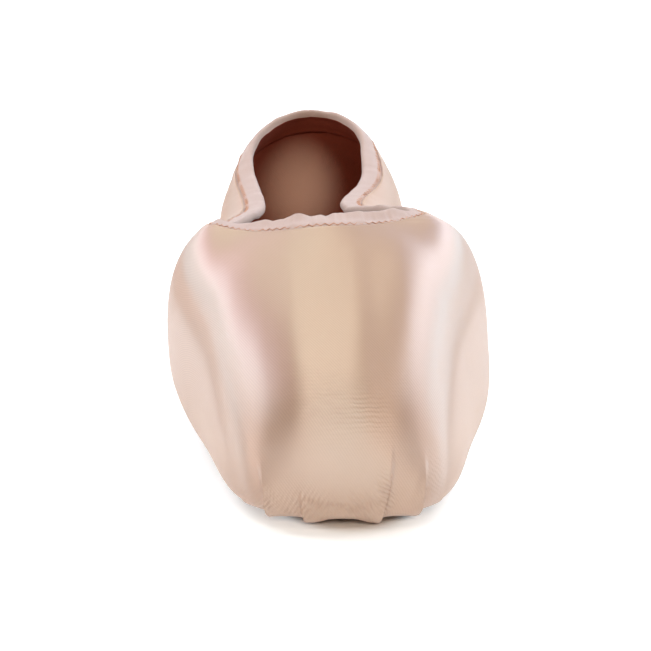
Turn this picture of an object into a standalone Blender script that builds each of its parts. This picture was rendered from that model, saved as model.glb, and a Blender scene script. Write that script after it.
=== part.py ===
"""Pointe shoe standing empty on its sole: satin upper with box and platform, casing, insole and outsole.

Metres, +Z up. The floor is Z = 0, the toe points to -Y, and the midline of the sole is near X = 0.
The last is described by ribs. Each rib is a curve from the sole's edge, round the widest line of the shoe
(the belt), up to the topline. The ribs stand side by side all the way round the shoe.
"""
import math
from collections import namedtuple

import bmesh
import bpy
import numpy as np

# Driving sizes of the last

LENGTH = 0.236
BALL_FROM_TOE = 0.066
BALL_WIDTH = 0.081
WAIST_WIDTH = 0.0596
HEEL_WIDTH = 0.0546
PLATFORM_WIDTH = 0.043
PLATFORM_HEIGHT = 0.027
PLATFORM_RIM = 0.005
QUARTER_HEIGHT = 0.0443
HEEL_HEIGHT = 0.058

# Driving sizes of the opening

THROAT_FROM_TOE = 0.079
THROAT_HEIGHT = 0.057
THROAT_OPENING = 0.0512
WAIST_OPENING = 0.0214
HEEL_OPENING = 0.0316
HEEL_RAKE = 0.011

# How the empty shoe leans and its waist sways to one side

LEAN_ANGLE = math.radians(3.7)
LEAN_START_HEIGHT = 0.006
LEAN_FULL_HEIGHT = 0.024
WAIST_SWAY = 0.004

# Sole and insole

SOLE_TIP_FROM_TOE = 0.026
SOLE_BACK_FROM_HEEL = 0.010
SOLE_BALL_WIDTH = 0.055
SOLE_WAIST_WIDTH = 0.028
SOLE_HEEL_WIDTH = 0.033
SOLE_THICKNESS = 0.003
SOLE_EDGE_BEVEL = 0.0005
FOREFOOT_FLAT_FROM_TOE = 0.046
FOREFOOT_FLAT_LENGTH = 0.046
HEEL_FLAT_FROM_HEEL = 0.022
HEEL_FLAT_LENGTH = 0.034
ARCH_LIFT = 0.0023
TOE_SPRING = 0.0004
HEEL_SPRING = 0.0004
SPOKE_CENTRE_INSET = 0.012
INSOLE_THICKNESS = 0.002
INSOLE_INSET = 0.0025

# Walls, margins and gaps

BOX_WALL = 0.0024
QUARTER_WALL = 0.0014
BOX_WALL_ENDS = 0.055
QUARTER_WALL_STARTS = 0.095
MARGIN_WIDTH = 0.009
GAP = 0.0003

# Casing at the topline

BINDING_WIDTH = 0.0065
BINDING_RECESS = 0.0004
BINDING_LAP = 0.005
BINDING_PLY = 0.0009
BINDING_SEAT_GAP = 0.0005

# Pleats under the toe

PLEAT_DEPTH = 0.0008
PLEAT_START_ANGLE = math.radians(12)
PLEAT_FULL_ANGLE = math.radians(30)

# Where each rib crosses the belt and the topline, toe to heel down one side. Lengths are shares of the
# sizes named in RIB_SCALES, and half and top_half of half the widths there. crown and turn are the
# squareness of the rib above and below the belt, sink is how far it bulges below the sole's seam as a
# share of the sole's thickness, and cuts is the number of ribs up to the next row.

Rib = namedtuple("Rib", "group along half rise top_along top_half top_rise crown turn sink cuts")
RIBS = [
    Rib("toe",    -0.182, 0.000, 0.500, 0.000, 0.000, 1.000, 1.50, 4.0, 0.95, 8),
    Rib("toe",     0.015, 1.000, 0.511, 0.010, 0.395, 0.977, 1.70, 3.5, 0.92, 8),
    Rib("box",     0.455, 0.800, 0.361, 0.048, 0.754, 0.949, 2.29, 3.0, 0.60, 7),
    Rib("box",     1.000, 1.000, 0.439, 0.116, 1.000, 0.944, 2.67, 2.7, 0.20, 5),
    Rib("quarter", 0.200, 1.275, 0.578, 0.240, 1.963, 1.090, 2.66, 2.6, 0.10, 6),
    Rib("quarter", 0.471, 1.000, 0.508, 0.493, 1.000, 1.000, 2.32, 2.4, 0.10, 6),
    Rib("heel",    0.753, 1.000, 0.400, 0.781, 1.000, 0.824, 2.31, 2.4, 0.10, 4),
    Rib("heel",    0.935, 0.681, 0.412, 0.932, 0.823, 0.959, 1.85, 2.4, 0.10, 4),
    Rib("heel",    1.000, 0.000, 0.431, 1.000, 0.000, 1.000, 2.00, 2.4, 0.10, 0),
]
Scale = namedtuple("Scale", "start span width rise top_width top_rise")
BEHIND_BALL = LENGTH - BALL_FROM_TOE
RIB_SCALES = {
    "toe": Scale(0.0, BALL_FROM_TOE, PLATFORM_WIDTH, PLATFORM_HEIGHT, THROAT_OPENING, THROAT_HEIGHT),
    "box": Scale(0.0, BALL_FROM_TOE, BALL_WIDTH, THROAT_HEIGHT, THROAT_OPENING, THROAT_HEIGHT),
    "quarter": Scale(BALL_FROM_TOE, BEHIND_BALL, WAIST_WIDTH, QUARTER_HEIGHT, WAIST_OPENING, QUARTER_HEIGHT),
    "heel": Scale(BALL_FROM_TOE, BEHIND_BALL, HEEL_WIDTH, HEEL_HEIGHT, HEEL_OPENING, HEEL_HEIGHT),
}

# The sole's edge below each rib of the table: along is a share of the sole's length, half of the named width.

Edge = namedtuple("Edge", "along width half")
SOLE_EDGE = [
    Edge(0.00, SOLE_BALL_WIDTH, 0.000),
    Edge(0.04, SOLE_BALL_WIDTH, 0.545),
    Edge(0.12, SOLE_BALL_WIDTH, 0.855),
    Edge(0.23, SOLE_BALL_WIDTH, 1.000),
    Edge(0.37, SOLE_BALL_WIDTH, 0.873),
    Edge(0.56, SOLE_WAIST_WIDTH, 1.000),
    Edge(0.77, SOLE_HEEL_WIDTH, 0.970),
    Edge(0.93, SOLE_HEEL_WIDTH, 1.000),
    Edge(1.00, SOLE_HEEL_WIDTH, 0.000),
]

# Pleats from the toe's centre outwards: where a fold ends along the belt on the left and on the right, as
# shares of the platform's width, its depth as a share of PLEAT_DEPTH, and the heights where it starts to fade
# and where it has gone, as shares of the platform's height.

Pleat = namedtuple("Pleat", "left right depth fade_from top")
PLEATS = [
    Pleat(0.233, 0.203, 1.00, 0.15, 0.34),
    Pleat(0.480, 0.480, 1.50, 0.20, 0.60),
    Pleat(0.700, 0.690, 0.90, 0.15, 0.36),
    Pleat(0.920, 0.900, 0.80, 0.15, 0.34),
    Pleat(1.150, 1.120, 0.60, 0.15, 0.30),
    Pleat(1.400, 1.370, 0.50, 0.15, 0.30),
]

# Rows of the meshes: angles below the belt, shares of the way up to the casing's lap, shares of the lap, and
# shares of the way from a sole's outline to its middle line

LOWER_ROWS = [14, 28, 40, 50, 60, 72, 90]
UPPER_ROWS = [0.06, 0.11, 0.16, 0.22, 0.30, 0.42, 0.58, 0.78, 1.0]
LAP_ROWS = [1.0, 0.5, 0.0]
PLATE_RINGS = [0.0, 0.5, 1.0]
RIB_SAMPLES = 120
CASING_ARC_STEPS = 3
TUCK_POWER = 3
EDGE_ANGLE = math.radians(50)
WELD_DISTANCE = 1e-6


def smooth_ramp(value, start, end):
    """0 up to start, 1 from end on, and a soft S between them."""
    share = np.clip((value - start) / (end - start), 0.0, 1.0)
    return share * share * (3.0 - 2.0 * share)


def soft_max(value, floor, softness):
    """The larger of the two, blended round the place where they cross."""
    return 0.5 * (value + floor + np.sqrt((value - floor) ** 2 + softness ** 2))


def closed_spline(knots, values, period, wanted):
    """Smooth closed curve through the rows of values at the knots, read at the wanted places."""
    count = len(knots)
    steps = np.diff(np.append(knots, knots[0] + period))
    matrix = np.zeros((count, count))
    target = np.zeros(values.shape)
    for i in range(count):
        before = steps[i - 1]
        after = steps[i]
        following = (i + 1) % count
        matrix[i, i - 1] += before
        matrix[i, i] += 2 * (before + after)
        matrix[i, following] += after
        target[i] = 6 * ((values[following] - values[i]) / after - (values[i] - values[i - 1]) / before)
    bends = np.linalg.solve(matrix, target)
    left = np.searchsorted(knots, wanted, side="right") - 1
    right = (left + 1) % count
    step = steps[left][:, None]
    done = (wanted - knots[left])[:, None]
    rest = step - done
    curved = (bends[left] * rest ** 3 + bends[right] * done ** 3) / (6 * step)
    from_left = (values[left] / step - bends[left] * step / 6) * rest
    from_right = (values[right] / step - bends[right] * step / 6) * done
    return curved + from_left + from_right


def rib_row(rib, edge):
    """One row of the tables as lengths: belt, topline and sole's edge, then the shape numbers."""
    scale = RIB_SCALES[rib.group]
    opening_length = LENGTH - HEEL_RAKE - THROAT_FROM_TOE
    sole_length = LENGTH - SOLE_TIP_FROM_TOE - SOLE_BACK_FROM_HEEL
    return [
        rib.half * scale.width / 2,
        scale.start + rib.along * scale.span,
        rib.rise * scale.rise,
        rib.top_half * scale.top_width / 2,
        THROAT_FROM_TOE + rib.top_along * opening_length,
        rib.top_rise * scale.top_rise,
        edge.half * edge.width / 2,
        SOLE_TIP_FROM_TOE + edge.along * sole_length,
        rib.crown,
        rib.turn,
        rib.sink * SOLE_THICKNESS,
    ]


SIDEWAYS_COLUMNS = [0, 3, 6]
Guides = namedtuple("Guides", "belt top sole crown turn sink from_toe")


def rib_guides():
    """The tables, mirrored to the other side and read at every rib round the shoe."""
    right = np.array([rib_row(rib, edge) for rib, edge in zip(RIBS, SOLE_EDGE)])
    left = right[-2:0:-1].copy()
    left[:, SIDEWAYS_COLUMNS] *= -1
    rows = np.vstack([right, left])
    cuts = [rib.cuts for rib in RIBS[:-1]]
    cuts = cuts + cuts[::-1]
    steps = np.linalg.norm(np.roll(rows[:, :3], -1, axis=0) - rows[:, :3], axis=1)
    period = steps.sum()
    knots = np.concatenate([[0.0], np.cumsum(steps)[:-1]])
    wanted = np.concatenate([
        knot + step * np.arange(cut) / cut
        for knot, step, cut in zip(knots, steps, cuts)
    ])
    guides = closed_spline(knots, rows, period, wanted)
    from_toe = np.where(wanted < period / 2, wanted, wanted - period)
    belt, top, sole = guides[:, 0:3], guides[:, 3:6], guides[:, 6:8]
    return Guides(belt, top, sole, guides[:, 8], guides[:, 9], guides[:, 10], from_toe)


def sole_lift(along):
    """Height of the outsole's underside: level under ball and heel, lifted at the arch, tip and back."""
    forefoot_end = FOREFOOT_FLAT_FROM_TOE + FOREFOOT_FLAT_LENGTH
    heel_end = LENGTH - HEEL_FLAT_FROM_HEEL
    heel_start = heel_end - HEEL_FLAT_LENGTH
    arch_share = np.clip((along - forefoot_end) / (heel_start - forefoot_end), 0.0, 1.0)
    arch = ARCH_LIFT * np.sin(math.pi * arch_share) ** 2
    tip = TOE_SPRING * smooth_ramp(-along, -FOREFOOT_FLAT_FROM_TOE, -SOLE_TIP_FROM_TOE)
    back = HEEL_SPRING * smooth_ramp(along, heel_end, LENGTH - SOLE_BACK_FROM_HEEL)
    return arch + tip + back


def seam_height(along):
    """Height of the upper's underside where it is lasted onto the outsole."""
    return sole_lift(along) + SOLE_THICKNESS + GAP


def spoke_centres(guides):
    """Where each rib's spoke meets the sole's middle line: sideways and along."""
    tip = SOLE_TIP_FROM_TOE + SPOKE_CENTRE_INSET
    back = LENGTH - SOLE_BACK_FROM_HEEL - SPOKE_CENTRE_INSET
    along = np.clip(guides.sole[:, 1], tip, back)
    return np.column_stack([np.zeros(len(along)), along])


def sole_ring(guides, inset):
    """The sole's outline moved inwards along the spokes: sideways and along, by rib."""
    centre = spoke_centres(guides)
    spoke = guides.sole - centre
    reach = np.linalg.norm(spoke, axis=1, keepdims=True)
    return centre + spoke * np.maximum(1.0 - inset / reach, 0.0)


def lower_arc(guides, angles):
    """Rib points from the sole's edge (angle 0) round and up to the belt (a right angle)."""
    across = np.sin(angles)[None, :] ** (2 / guides.turn[:, None])
    drop = np.cos(angles)[None, :] ** (2 / guides.turn[:, None])
    seam = seam_height(guides.sole[:, 1])[:, None]
    lowest = seam - guides.sink[:, None]
    belt = guides.belt
    side = guides.sole[:, 0:1] + (belt[:, 0:1] - guides.sole[:, 0:1]) * across
    along = guides.sole[:, 1:2] + (belt[:, 1:2] - guides.sole[:, 1:2]) * across
    tuck = guides.sink[:, None] * (1 - across) ** TUCK_POWER
    height = belt[:, 2:3] - (belt[:, 2:3] - lowest) * drop + tuck
    return np.stack([side, along, height], axis=-1)


def upper_arc(guides, angles):
    """Rib points from the belt (angle 0) up and in to the topline (a right angle)."""
    across = 1 - np.cos(angles)[None, :] ** (2 / guides.crown[:, None])
    rise = np.sin(angles)[None, :] ** (2 / guides.crown[:, None])
    moved = guides.top - guides.belt
    share = np.stack([across, across, rise], axis=-1)
    return guides.belt[:, None, :] + moved[:, None, :] * share


def press_platform(points):
    """Flatten the virtual nose of the last onto the platform's plane, with a soft rim."""
    pressed = points.copy()
    pressed[..., 1] = soft_max(points[..., 1], 0.0, PLATFORM_RIM)
    return pressed


def outward_normals(points):
    """Unit normals of a grid of ribs, closed in the first direction, pointing out of the shoe."""
    round_shoe = np.roll(points, -1, axis=0) - np.roll(points, 1, axis=0)
    up_rib = np.gradient(points, axis=1)
    normals = np.cross(round_shoe, up_rib)
    return normals / np.linalg.norm(normals, axis=-1, keepdims=True)


def pleat_relief(from_toe, height):
    """How far the gathered satin stands out at each rib point, by its distance along the belt and its height.

    Each fold rises slowly to its outer edge and drops there to the start of the next one.
    """
    relief = np.zeros(height.shape)
    starts = {"left": 0.0, "right": 0.0}
    for pleat in PLEATS:
        gone = smooth_ramp(height, pleat.fade_from * PLATFORM_HEIGHT, pleat.top * PLATFORM_HEIGHT)
        for side, share, sign in (("left", pleat.left, -1.0), ("right", pleat.right, 1.0)):
            end = share * PLATFORM_WIDTH
            done = (sign * from_toe - starts[side]) / (end - starts[side])
            inside = (done >= 0.0) & (done < 1.0)
            fold = PLEAT_DEPTH * pleat.depth * done ** 2
            relief = np.where(inside[:, None], fold[:, None] * (1 - gone), relief)
            starts[side] = end
    return relief


def pleated(points, angles, from_toe):
    """Lower rib points with the pleats raised on them, fading out at the sole and up the toe."""
    leave_sole = smooth_ramp(angles, PLEAT_START_ANGLE, PLEAT_FULL_ANGLE)[None, :]
    relief = pleat_relief(from_toe, points[..., 2]) * leave_sole
    return points + outward_normals(points) * relief[..., None]


def lean_over(points):
    """The waist sways to one side, and all above the sole leans the same way, as in a slack, empty shoe."""
    side, along, height = points[..., 0], points[..., 1], points[..., 2]
    opening_back = LENGTH - HEEL_RAKE
    share = np.clip((along - THROAT_FROM_TOE) / (opening_back - THROAT_FROM_TOE), 0.0, 1.0)
    sway = WAIST_SWAY * np.sin(math.pi * share) ** 2 * (height / QUARTER_HEIGHT) ** 2
    side = side - sway
    angle = LEAN_ANGLE * smooth_ramp(height, LEAN_START_HEIGHT, LEAN_FULL_HEIGHT)
    leaned_side = side * np.cos(angle) - height * np.sin(angle)
    leaned_height = side * np.sin(angle) + height * np.cos(angle)
    return np.stack([leaned_side, along, leaned_height], axis=-1)


def resample(points, normals, distance_down):
    """Point and normal on each rib at a distance below the topline, one distance or one for each rib."""
    steps = np.linalg.norm(np.diff(points, axis=1), axis=2)
    travelled = np.concatenate([np.zeros((len(points), 1)), np.cumsum(steps, axis=1)], axis=1)
    wanted = travelled[:, -1] - distance_down
    columns = np.concatenate([points, normals], axis=2)
    found = np.array([
        [np.interp(place, lengths, column) for column in rib.T]
        for place, lengths, rib in zip(wanted, travelled, columns)
    ])
    return found[:, :3], found[:, 3:]


def wall_thickness(along):
    """Thick in the hardened box, thin in the quarters."""
    share = smooth_ramp(along, BOX_WALL_ENDS, QUARTER_WALL_STARTS)
    return BOX_WALL + (QUARTER_WALL - BOX_WALL) * share


def upper_rows(guides):
    """The upper's outer face, row by row from the lasting margin's edge to the satin's top edge."""
    margin = sole_ring(guides, MARGIN_WIDTH)
    margin_edge = np.column_stack([margin, seam_height(margin[:, 1])])
    seam = np.column_stack([guides.sole, seam_height(guides.sole[:, 1])])
    angles = np.radians(LOWER_ROWS)
    lower = pleated(lower_arc(guides, angles), angles, guides.from_toe)
    lower = lean_over(press_platform(lower))
    fine, normals = topline_ribs(guides)
    rib_length = np.linalg.norm(np.diff(fine, axis=1), axis=2).sum(axis=1)
    lap_edge = BINDING_WIDTH + BINDING_LAP
    rows = [margin_edge, seam]
    rows.extend(lower[:, i] for i in range(lower.shape[1]))
    for share in UPPER_ROWS:
        rows.append(resample(fine, normals, rib_length - share * (rib_length - lap_edge))[0])
    for share in LAP_ROWS[1:]:
        rows.append(resample(fine, normals, BINDING_WIDTH + share * BINDING_LAP)[0])
    return np.stack(rows, axis=1)


def topline_ribs(guides):
    """Fine points and normals from the belt to the topline on every rib."""
    points = press_platform(upper_arc(guides, np.linspace(0.0, math.pi / 2, RIB_SAMPLES)))
    points = lean_over(points)
    return points, outward_normals(points)


def new_object(name, collection, build_mesh):
    """A named object whose mesh is filled by build_mesh."""
    mesh = bpy.data.meshes.new(name)
    bm = bmesh.new()
    build_mesh(bm)
    bm.to_mesh(mesh)
    bm.free()
    mesh.shade_smooth()
    piece = bpy.data.objects.new(name, mesh)
    collection.objects.link(piece)
    return piece


def loft(bm, rings):
    """Quads between neighbouring ribs, all the way round. rings holds points by rib, then by row."""
    ribs, rows, _ = rings.shape
    vertices = [[bm.verts.new(rings[i, j]) for j in range(rows)] for i in range(ribs)]
    for i in range(ribs):
        following = (i + 1) % ribs
        for j in range(rows - 1):
            corners = (vertices[i][j], vertices[following][j], vertices[following][j + 1], vertices[i][j + 1])
            bm.faces.new(corners)


def make_upper(collection, guides, centre):
    """Outer face as a loft of the ribs, with Solidify giving the wall on its inner side."""
    rows = upper_rows(guides)
    points = rows - centre
    piece = new_object("upper", collection, lambda bm: loft(bm, points))
    thickness = wall_thickness(rows[..., 1])
    margin_rows = rows.shape[1] - len(LOWER_ROWS + UPPER_ROWS + LAP_ROWS[1:])
    thickness[:, :margin_rows] = QUARTER_WALL
    thickest = thickness.max()
    group = piece.vertex_groups.new(name="wall_thickness")
    for index, share in enumerate((thickness / thickest).ravel()):
        group.add([index], float(share), "REPLACE")
    shell = piece.modifiers.new("wall", "SOLIDIFY")
    shell.thickness = thickest
    shell.offset = -1.0
    shell.use_even_offset = True
    shell.vertex_group = group.name
    return piece


def make_sole_plate(name, collection, guides, centre, inset, height_above_lift, thickness, bevel):
    """A flat sole: rings from its outline in to the middle line, made solid upwards, edges eased."""
    rings = []
    outline = sole_ring(guides, inset)
    middle = spoke_centres(guides)
    for share in PLATE_RINGS:
        flat = outline + (middle - outline) * share
        rings.append(np.column_stack([flat, sole_lift(flat[:, 1]) + height_above_lift]))
    points = np.stack(rings, axis=1) - centre

    def build_mesh(bm):
        loft(bm, points)
        bmesh.ops.remove_doubles(bm, verts=bm.verts, dist=WELD_DISTANCE)

    piece = new_object(name, collection, build_mesh)
    solid = piece.modifiers.new("thickness", "SOLIDIFY")
    solid.thickness = thickness
    solid.offset = 1.0
    if bevel:
        ease = piece.modifiers.new("eased_edge", "BEVEL")
        ease.width = bevel
        ease.segments = 1
        ease.limit_method = "ANGLE"
        ease.angle_limit = EDGE_ANGLE
    return piece


def binding_profile(walls):
    """The casing's section by rib: distance down from the topline, and depth inside the satin's face.

    walls holds the wall's thickness at each lap row, from the lap's lower end to the satin's edge.
    """
    inner = walls[-1] + GAP + BINDING_PLY
    roll_radius = (inner - BINDING_RECESS) / 2
    lap = [BINDING_WIDTH + share * BINDING_LAP for share in LAP_ROWS]
    lap[-1] = BINDING_WIDTH - BINDING_SEAT_GAP
    profile = [(down, wall + GAP) for down, wall in zip(lap, walls)]
    profile.append((lap[-1], BINDING_RECESS))
    for step in range(CASING_ARC_STEPS + 1):
        angle = math.pi * step / CASING_ARC_STEPS
        down = roll_radius * (1 - math.sin(angle))
        depth = BINDING_RECESS + roll_radius * (1 - math.cos(angle))
        profile.append((down, depth))
    for down, wall in zip(lap[::-1], walls[::-1]):
        profile.append((down, wall + GAP + BINDING_PLY))
    return profile


def make_topline_binding(collection, guides, centre):
    """The casing: one closed section carried round the topline from rib to rib."""
    fine, normals = topline_ribs(guides)
    lap_points = [resample(fine, normals, BINDING_WIDTH + share * BINDING_LAP)[0] for share in LAP_ROWS]
    walls = [wall_thickness(points[:, 1]) for points in lap_points]
    rails = []
    for down, depth in binding_profile(walls):
        point, normal = resample(fine, normals, down)
        rails.append(point - normal * np.reshape(depth, (-1, 1)))
    rails.append(rails[0])
    points = np.stack(rails, axis=1) - centre

    def build_mesh(bm):
        loft(bm, points)
        bmesh.ops.remove_doubles(bm, verts=bm.verts, dist=WELD_DISTANCE)
        bmesh.ops.recalc_face_normals(bm, faces=bm.faces)

    return new_object("topline_binding", collection, build_mesh)


def add_material(piece, name, colour, roughness, sheen=0.0):
    """A plain Principled BSDF of the piece's own."""
    material = bpy.data.materials.new(name)
    material.use_nodes = True
    shader = material.node_tree.nodes["Principled BSDF"]
    shader.inputs["Base Color"].default_value = (*colour, 1.0)
    shader.inputs["Roughness"].default_value = roughness
    shader.inputs["Metallic"].default_value = 0.0
    shader.inputs["Sheen Weight"].default_value = sheen
    piece.data.materials.append(material)


def shoe_centre(guides):
    """The middle of the upper's outer box, which becomes X = 0 and Y = 0. The floor stays at Z = 0."""
    outer = upper_rows(guides).reshape(-1, 3)
    middle = (outer.min(axis=0) + outer.max(axis=0)) / 2
    return np.array([middle[0], middle[1], 0.0])


def main():
    for old in list(bpy.data.objects):
        bpy.data.objects.remove(old, do_unlink=True)
    collection = bpy.data.collections.new("pointe_shoe")
    bpy.context.scene.collection.children.link(collection)

    guides = rib_guides()
    centre = shoe_centre(guides)

    upper = make_upper(collection, guides, centre)
    add_material(upper, "pink_satin", (0.73, 0.51, 0.41), 0.35, sheen=0.3)

    binding = make_topline_binding(collection, guides, centre)
    add_material(binding, "cotton_casing", (0.72, 0.50, 0.42), 0.85)

    outsole = make_sole_plate(
        "outsole", collection, guides, centre, 0.0, 0.0, SOLE_THICKNESS, SOLE_EDGE_BEVEL
    )
    add_material(outsole, "sole_leather", (0.55, 0.36, 0.22), 0.6)

    insole_height = SOLE_THICKNESS + GAP + QUARTER_WALL + GAP
    insole = make_sole_plate(
        "insole", collection, guides, centre, INSOLE_INSET, insole_height, INSOLE_THICKNESS, 0.0
    )
    add_material(insole, "insole_cloth", (0.62, 0.52, 0.42), 0.8)


main()
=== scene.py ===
import math
from collections import namedtuple

import bmesh
import bpy
import numpy as np
from mathutils import Matrix, Vector


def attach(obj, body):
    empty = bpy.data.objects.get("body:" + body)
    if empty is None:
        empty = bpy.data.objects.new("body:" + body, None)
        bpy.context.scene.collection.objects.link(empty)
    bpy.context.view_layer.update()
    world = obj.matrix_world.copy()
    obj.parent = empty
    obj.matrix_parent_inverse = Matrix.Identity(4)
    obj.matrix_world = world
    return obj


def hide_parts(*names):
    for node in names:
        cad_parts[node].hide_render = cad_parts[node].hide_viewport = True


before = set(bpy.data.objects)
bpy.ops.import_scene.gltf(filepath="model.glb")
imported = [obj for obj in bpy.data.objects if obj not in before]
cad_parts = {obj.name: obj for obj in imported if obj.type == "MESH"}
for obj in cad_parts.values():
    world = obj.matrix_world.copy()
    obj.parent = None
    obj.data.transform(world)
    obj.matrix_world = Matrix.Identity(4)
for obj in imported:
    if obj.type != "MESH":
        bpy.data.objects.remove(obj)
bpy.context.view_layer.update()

# A pointe shoe standing empty on its sole. Lengths are metres, the toe points to -Y and the floor is Z = 0.
# The satin, casing, lining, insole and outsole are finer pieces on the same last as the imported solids.

MM = 0.001

# Driving sizes of the last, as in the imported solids

LENGTH = 0.236
BALL_FROM_TOE = 0.066
BALL_WIDTH = 0.081
WAIST_WIDTH = 0.0596
HEEL_WIDTH = 0.0546
PLATFORM_WIDTH = 0.043
PLATFORM_HEIGHT = 0.027
PLATFORM_RIM = 0.005
SATIN_RIM = 0.013
SATIN_RIM_REACH = 0.045
QUARTER_HEIGHT = 0.0443
HEEL_HEIGHT = 0.058
THROAT_FROM_TOE = 0.079
THROAT_HEIGHT = 0.057
THROAT_OPENING = 0.0512
WAIST_OPENING = 0.0214
HEEL_OPENING = 0.0316
HEEL_RAKE = 0.011
LEAN_ANGLE = math.radians(3.7)
LEAN_START_HEIGHT = 0.006
LEAN_FULL_HEIGHT = 0.024
WAIST_SWAY = 0.004
SOLE_TIP_FROM_TOE = 0.026
SOLE_BACK_FROM_HEEL = 0.010
SOLE_BALL_WIDTH = 0.055
SOLE_WAIST_WIDTH = 0.028
SOLE_HEEL_WIDTH = 0.033
SOLE_THICKNESS = 0.003
FOREFOOT_FLAT_FROM_TOE = 0.046
FOREFOOT_FLAT_LENGTH = 0.046
HEEL_FLAT_FROM_HEEL = 0.022
HEEL_FLAT_LENGTH = 0.034
ARCH_LIFT = 0.0023
TOE_SPRING = 0.0004
HEEL_SPRING = 0.0004
SPOKE_CENTRE_INSET = 0.012
INSOLE_THICKNESS = 0.002
INSOLE_INSET = 0.0025
BOX_WALL = 0.0024
QUARTER_WALL = 0.0014
BOX_WALL_ENDS = 0.055
QUARTER_WALL_STARTS = 0.095
MARGIN_WIDTH = 0.009
GAP = 0.0003
BINDING_WIDTH = 0.0065
TUCK_POWER = 3

# Where the middle of the last lies in the row's frame: sideways and along

CENTRE = np.array([-0.0014963, 0.118263, 0.0])

# The tables of the last: places on the belt and topline as shares of the sizes in RIB_SCALES

Rib = namedtuple("Rib", "group along half rise top_along top_half top_rise crown turn sink")
RIBS = [
    Rib("toe",    -0.182, 0.000, 0.500, 0.000, 0.000, 1.000, 1.50, 4.0, 0.95),
    Rib("toe",     0.015, 1.000, 0.511, 0.010, 0.395, 0.977, 1.70, 3.5, 0.92),
    Rib("box",     0.455, 0.800, 0.361, 0.048, 0.754, 0.949, 2.29, 3.0, 0.60),
    Rib("box",     1.000, 1.000, 0.439, 0.116, 1.000, 0.944, 2.67, 2.7, 0.20),
    Rib("quarter", 0.200, 1.275, 0.578, 0.240, 1.963, 1.090, 2.66, 2.6, 0.10),
    Rib("quarter", 0.471, 1.000, 0.508, 0.493, 1.000, 1.000, 2.32, 2.4, 0.10),
    Rib("heel",    0.753, 1.000, 0.400, 0.781, 1.000, 0.824, 2.31, 2.4, 0.10),
    Rib("heel",    0.935, 0.681, 0.412, 0.932, 0.823, 0.959, 1.85, 2.4, 0.10),
    Rib("heel",    1.000, 0.000, 0.431, 1.000, 0.000, 1.000, 2.00, 2.4, 0.10),
]
Scale = namedtuple("Scale", "start span width rise top_width top_rise")
BEHIND_BALL = LENGTH - BALL_FROM_TOE
RIB_SCALES = {
    "toe": Scale(0.0, BALL_FROM_TOE, PLATFORM_WIDTH, PLATFORM_HEIGHT, THROAT_OPENING, THROAT_HEIGHT),
    "box": Scale(0.0, BALL_FROM_TOE, BALL_WIDTH, THROAT_HEIGHT, THROAT_OPENING, THROAT_HEIGHT),
    "quarter": Scale(BALL_FROM_TOE, BEHIND_BALL, WAIST_WIDTH, QUARTER_HEIGHT, WAIST_OPENING, QUARTER_HEIGHT),
    "heel": Scale(BALL_FROM_TOE, BEHIND_BALL, HEEL_WIDTH, HEEL_HEIGHT, HEEL_OPENING, HEEL_HEIGHT),
}
Edge = namedtuple("Edge", "along width half")
SOLE_EDGE = [
    Edge(0.00, SOLE_BALL_WIDTH, 0.000),
    Edge(0.04, SOLE_BALL_WIDTH, 0.545),
    Edge(0.12, SOLE_BALL_WIDTH, 0.855),
    Edge(0.23, SOLE_BALL_WIDTH, 1.000),
    Edge(0.37, SOLE_BALL_WIDTH, 0.873),
    Edge(0.56, SOLE_WAIST_WIDTH, 1.000),
    Edge(0.77, SOLE_HEEL_WIDTH, 0.970),
    Edge(0.93, SOLE_HEEL_WIDTH, 1.000),
    Edge(1.00, SOLE_HEEL_WIDTH, 0.000),
]

# Ribs between neighbouring rows of the tables, for each kind of piece

SATIN_CUTS = [110, 90, 56, 30, 22, 18, 8, 6]
LINING_CUTS = [24, 26, 26, 20, 18, 16, 8, 6]
CASING_CUTS = [40, 44, 40, 50, 90, 96, 60, 44]
PLATE_CUTS = [20, 20, 20, 24, 28, 28, 20, 20]
SATIN_ROWS = 118
SATIN_BACK_ROWS = 12
LINING_ROWS = 44
LINING_BACK_ROWS = 10
RIB_SAMPLES = 160

# The rows lie closer together near the seam, by these powers

ROW_POWER = 1.3
LINING_POWER = 1.2

# Thickness of the satin, how far its back is tucked in at the edge, the gap to the lining and how far the
# lining's face stays short of the wall's depth, in metres. The lining's slack grows in between two lengths
# from the seam, in mm.

SATIN_THICKNESS = 0.0006
BACK_TUCK = 0.0005
LINING_GAP = 0.0002
LINING_RISE = 0.0001
LINING_SLACK = (4.0, 14.0)


def smooth_ramp(value, start, end):
    """0 up to start, 1 from end on, and a soft S between them."""
    share = np.clip((value - start) / (end - start), 0.0, 1.0)
    return share * share * (3.0 - 2.0 * share)


def bell(value, middle, reach):
    """1 at the middle, falling softly to 0 at the reach on both sides."""
    share = np.clip(np.abs(value - middle) / reach, 0.0, 1.0)
    return (1.0 - share ** 2) ** 2


def soft_max(value, floor, softness):
    """The larger of the two, blended round the place where they cross."""
    return 0.5 * (value + floor + np.sqrt((value - floor) ** 2 + softness ** 2))


def unit(vectors):
    """The vectors, each made one long."""
    return vectors / np.maximum(np.linalg.norm(vectors, axis=-1, keepdims=True), 1e-12)


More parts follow.
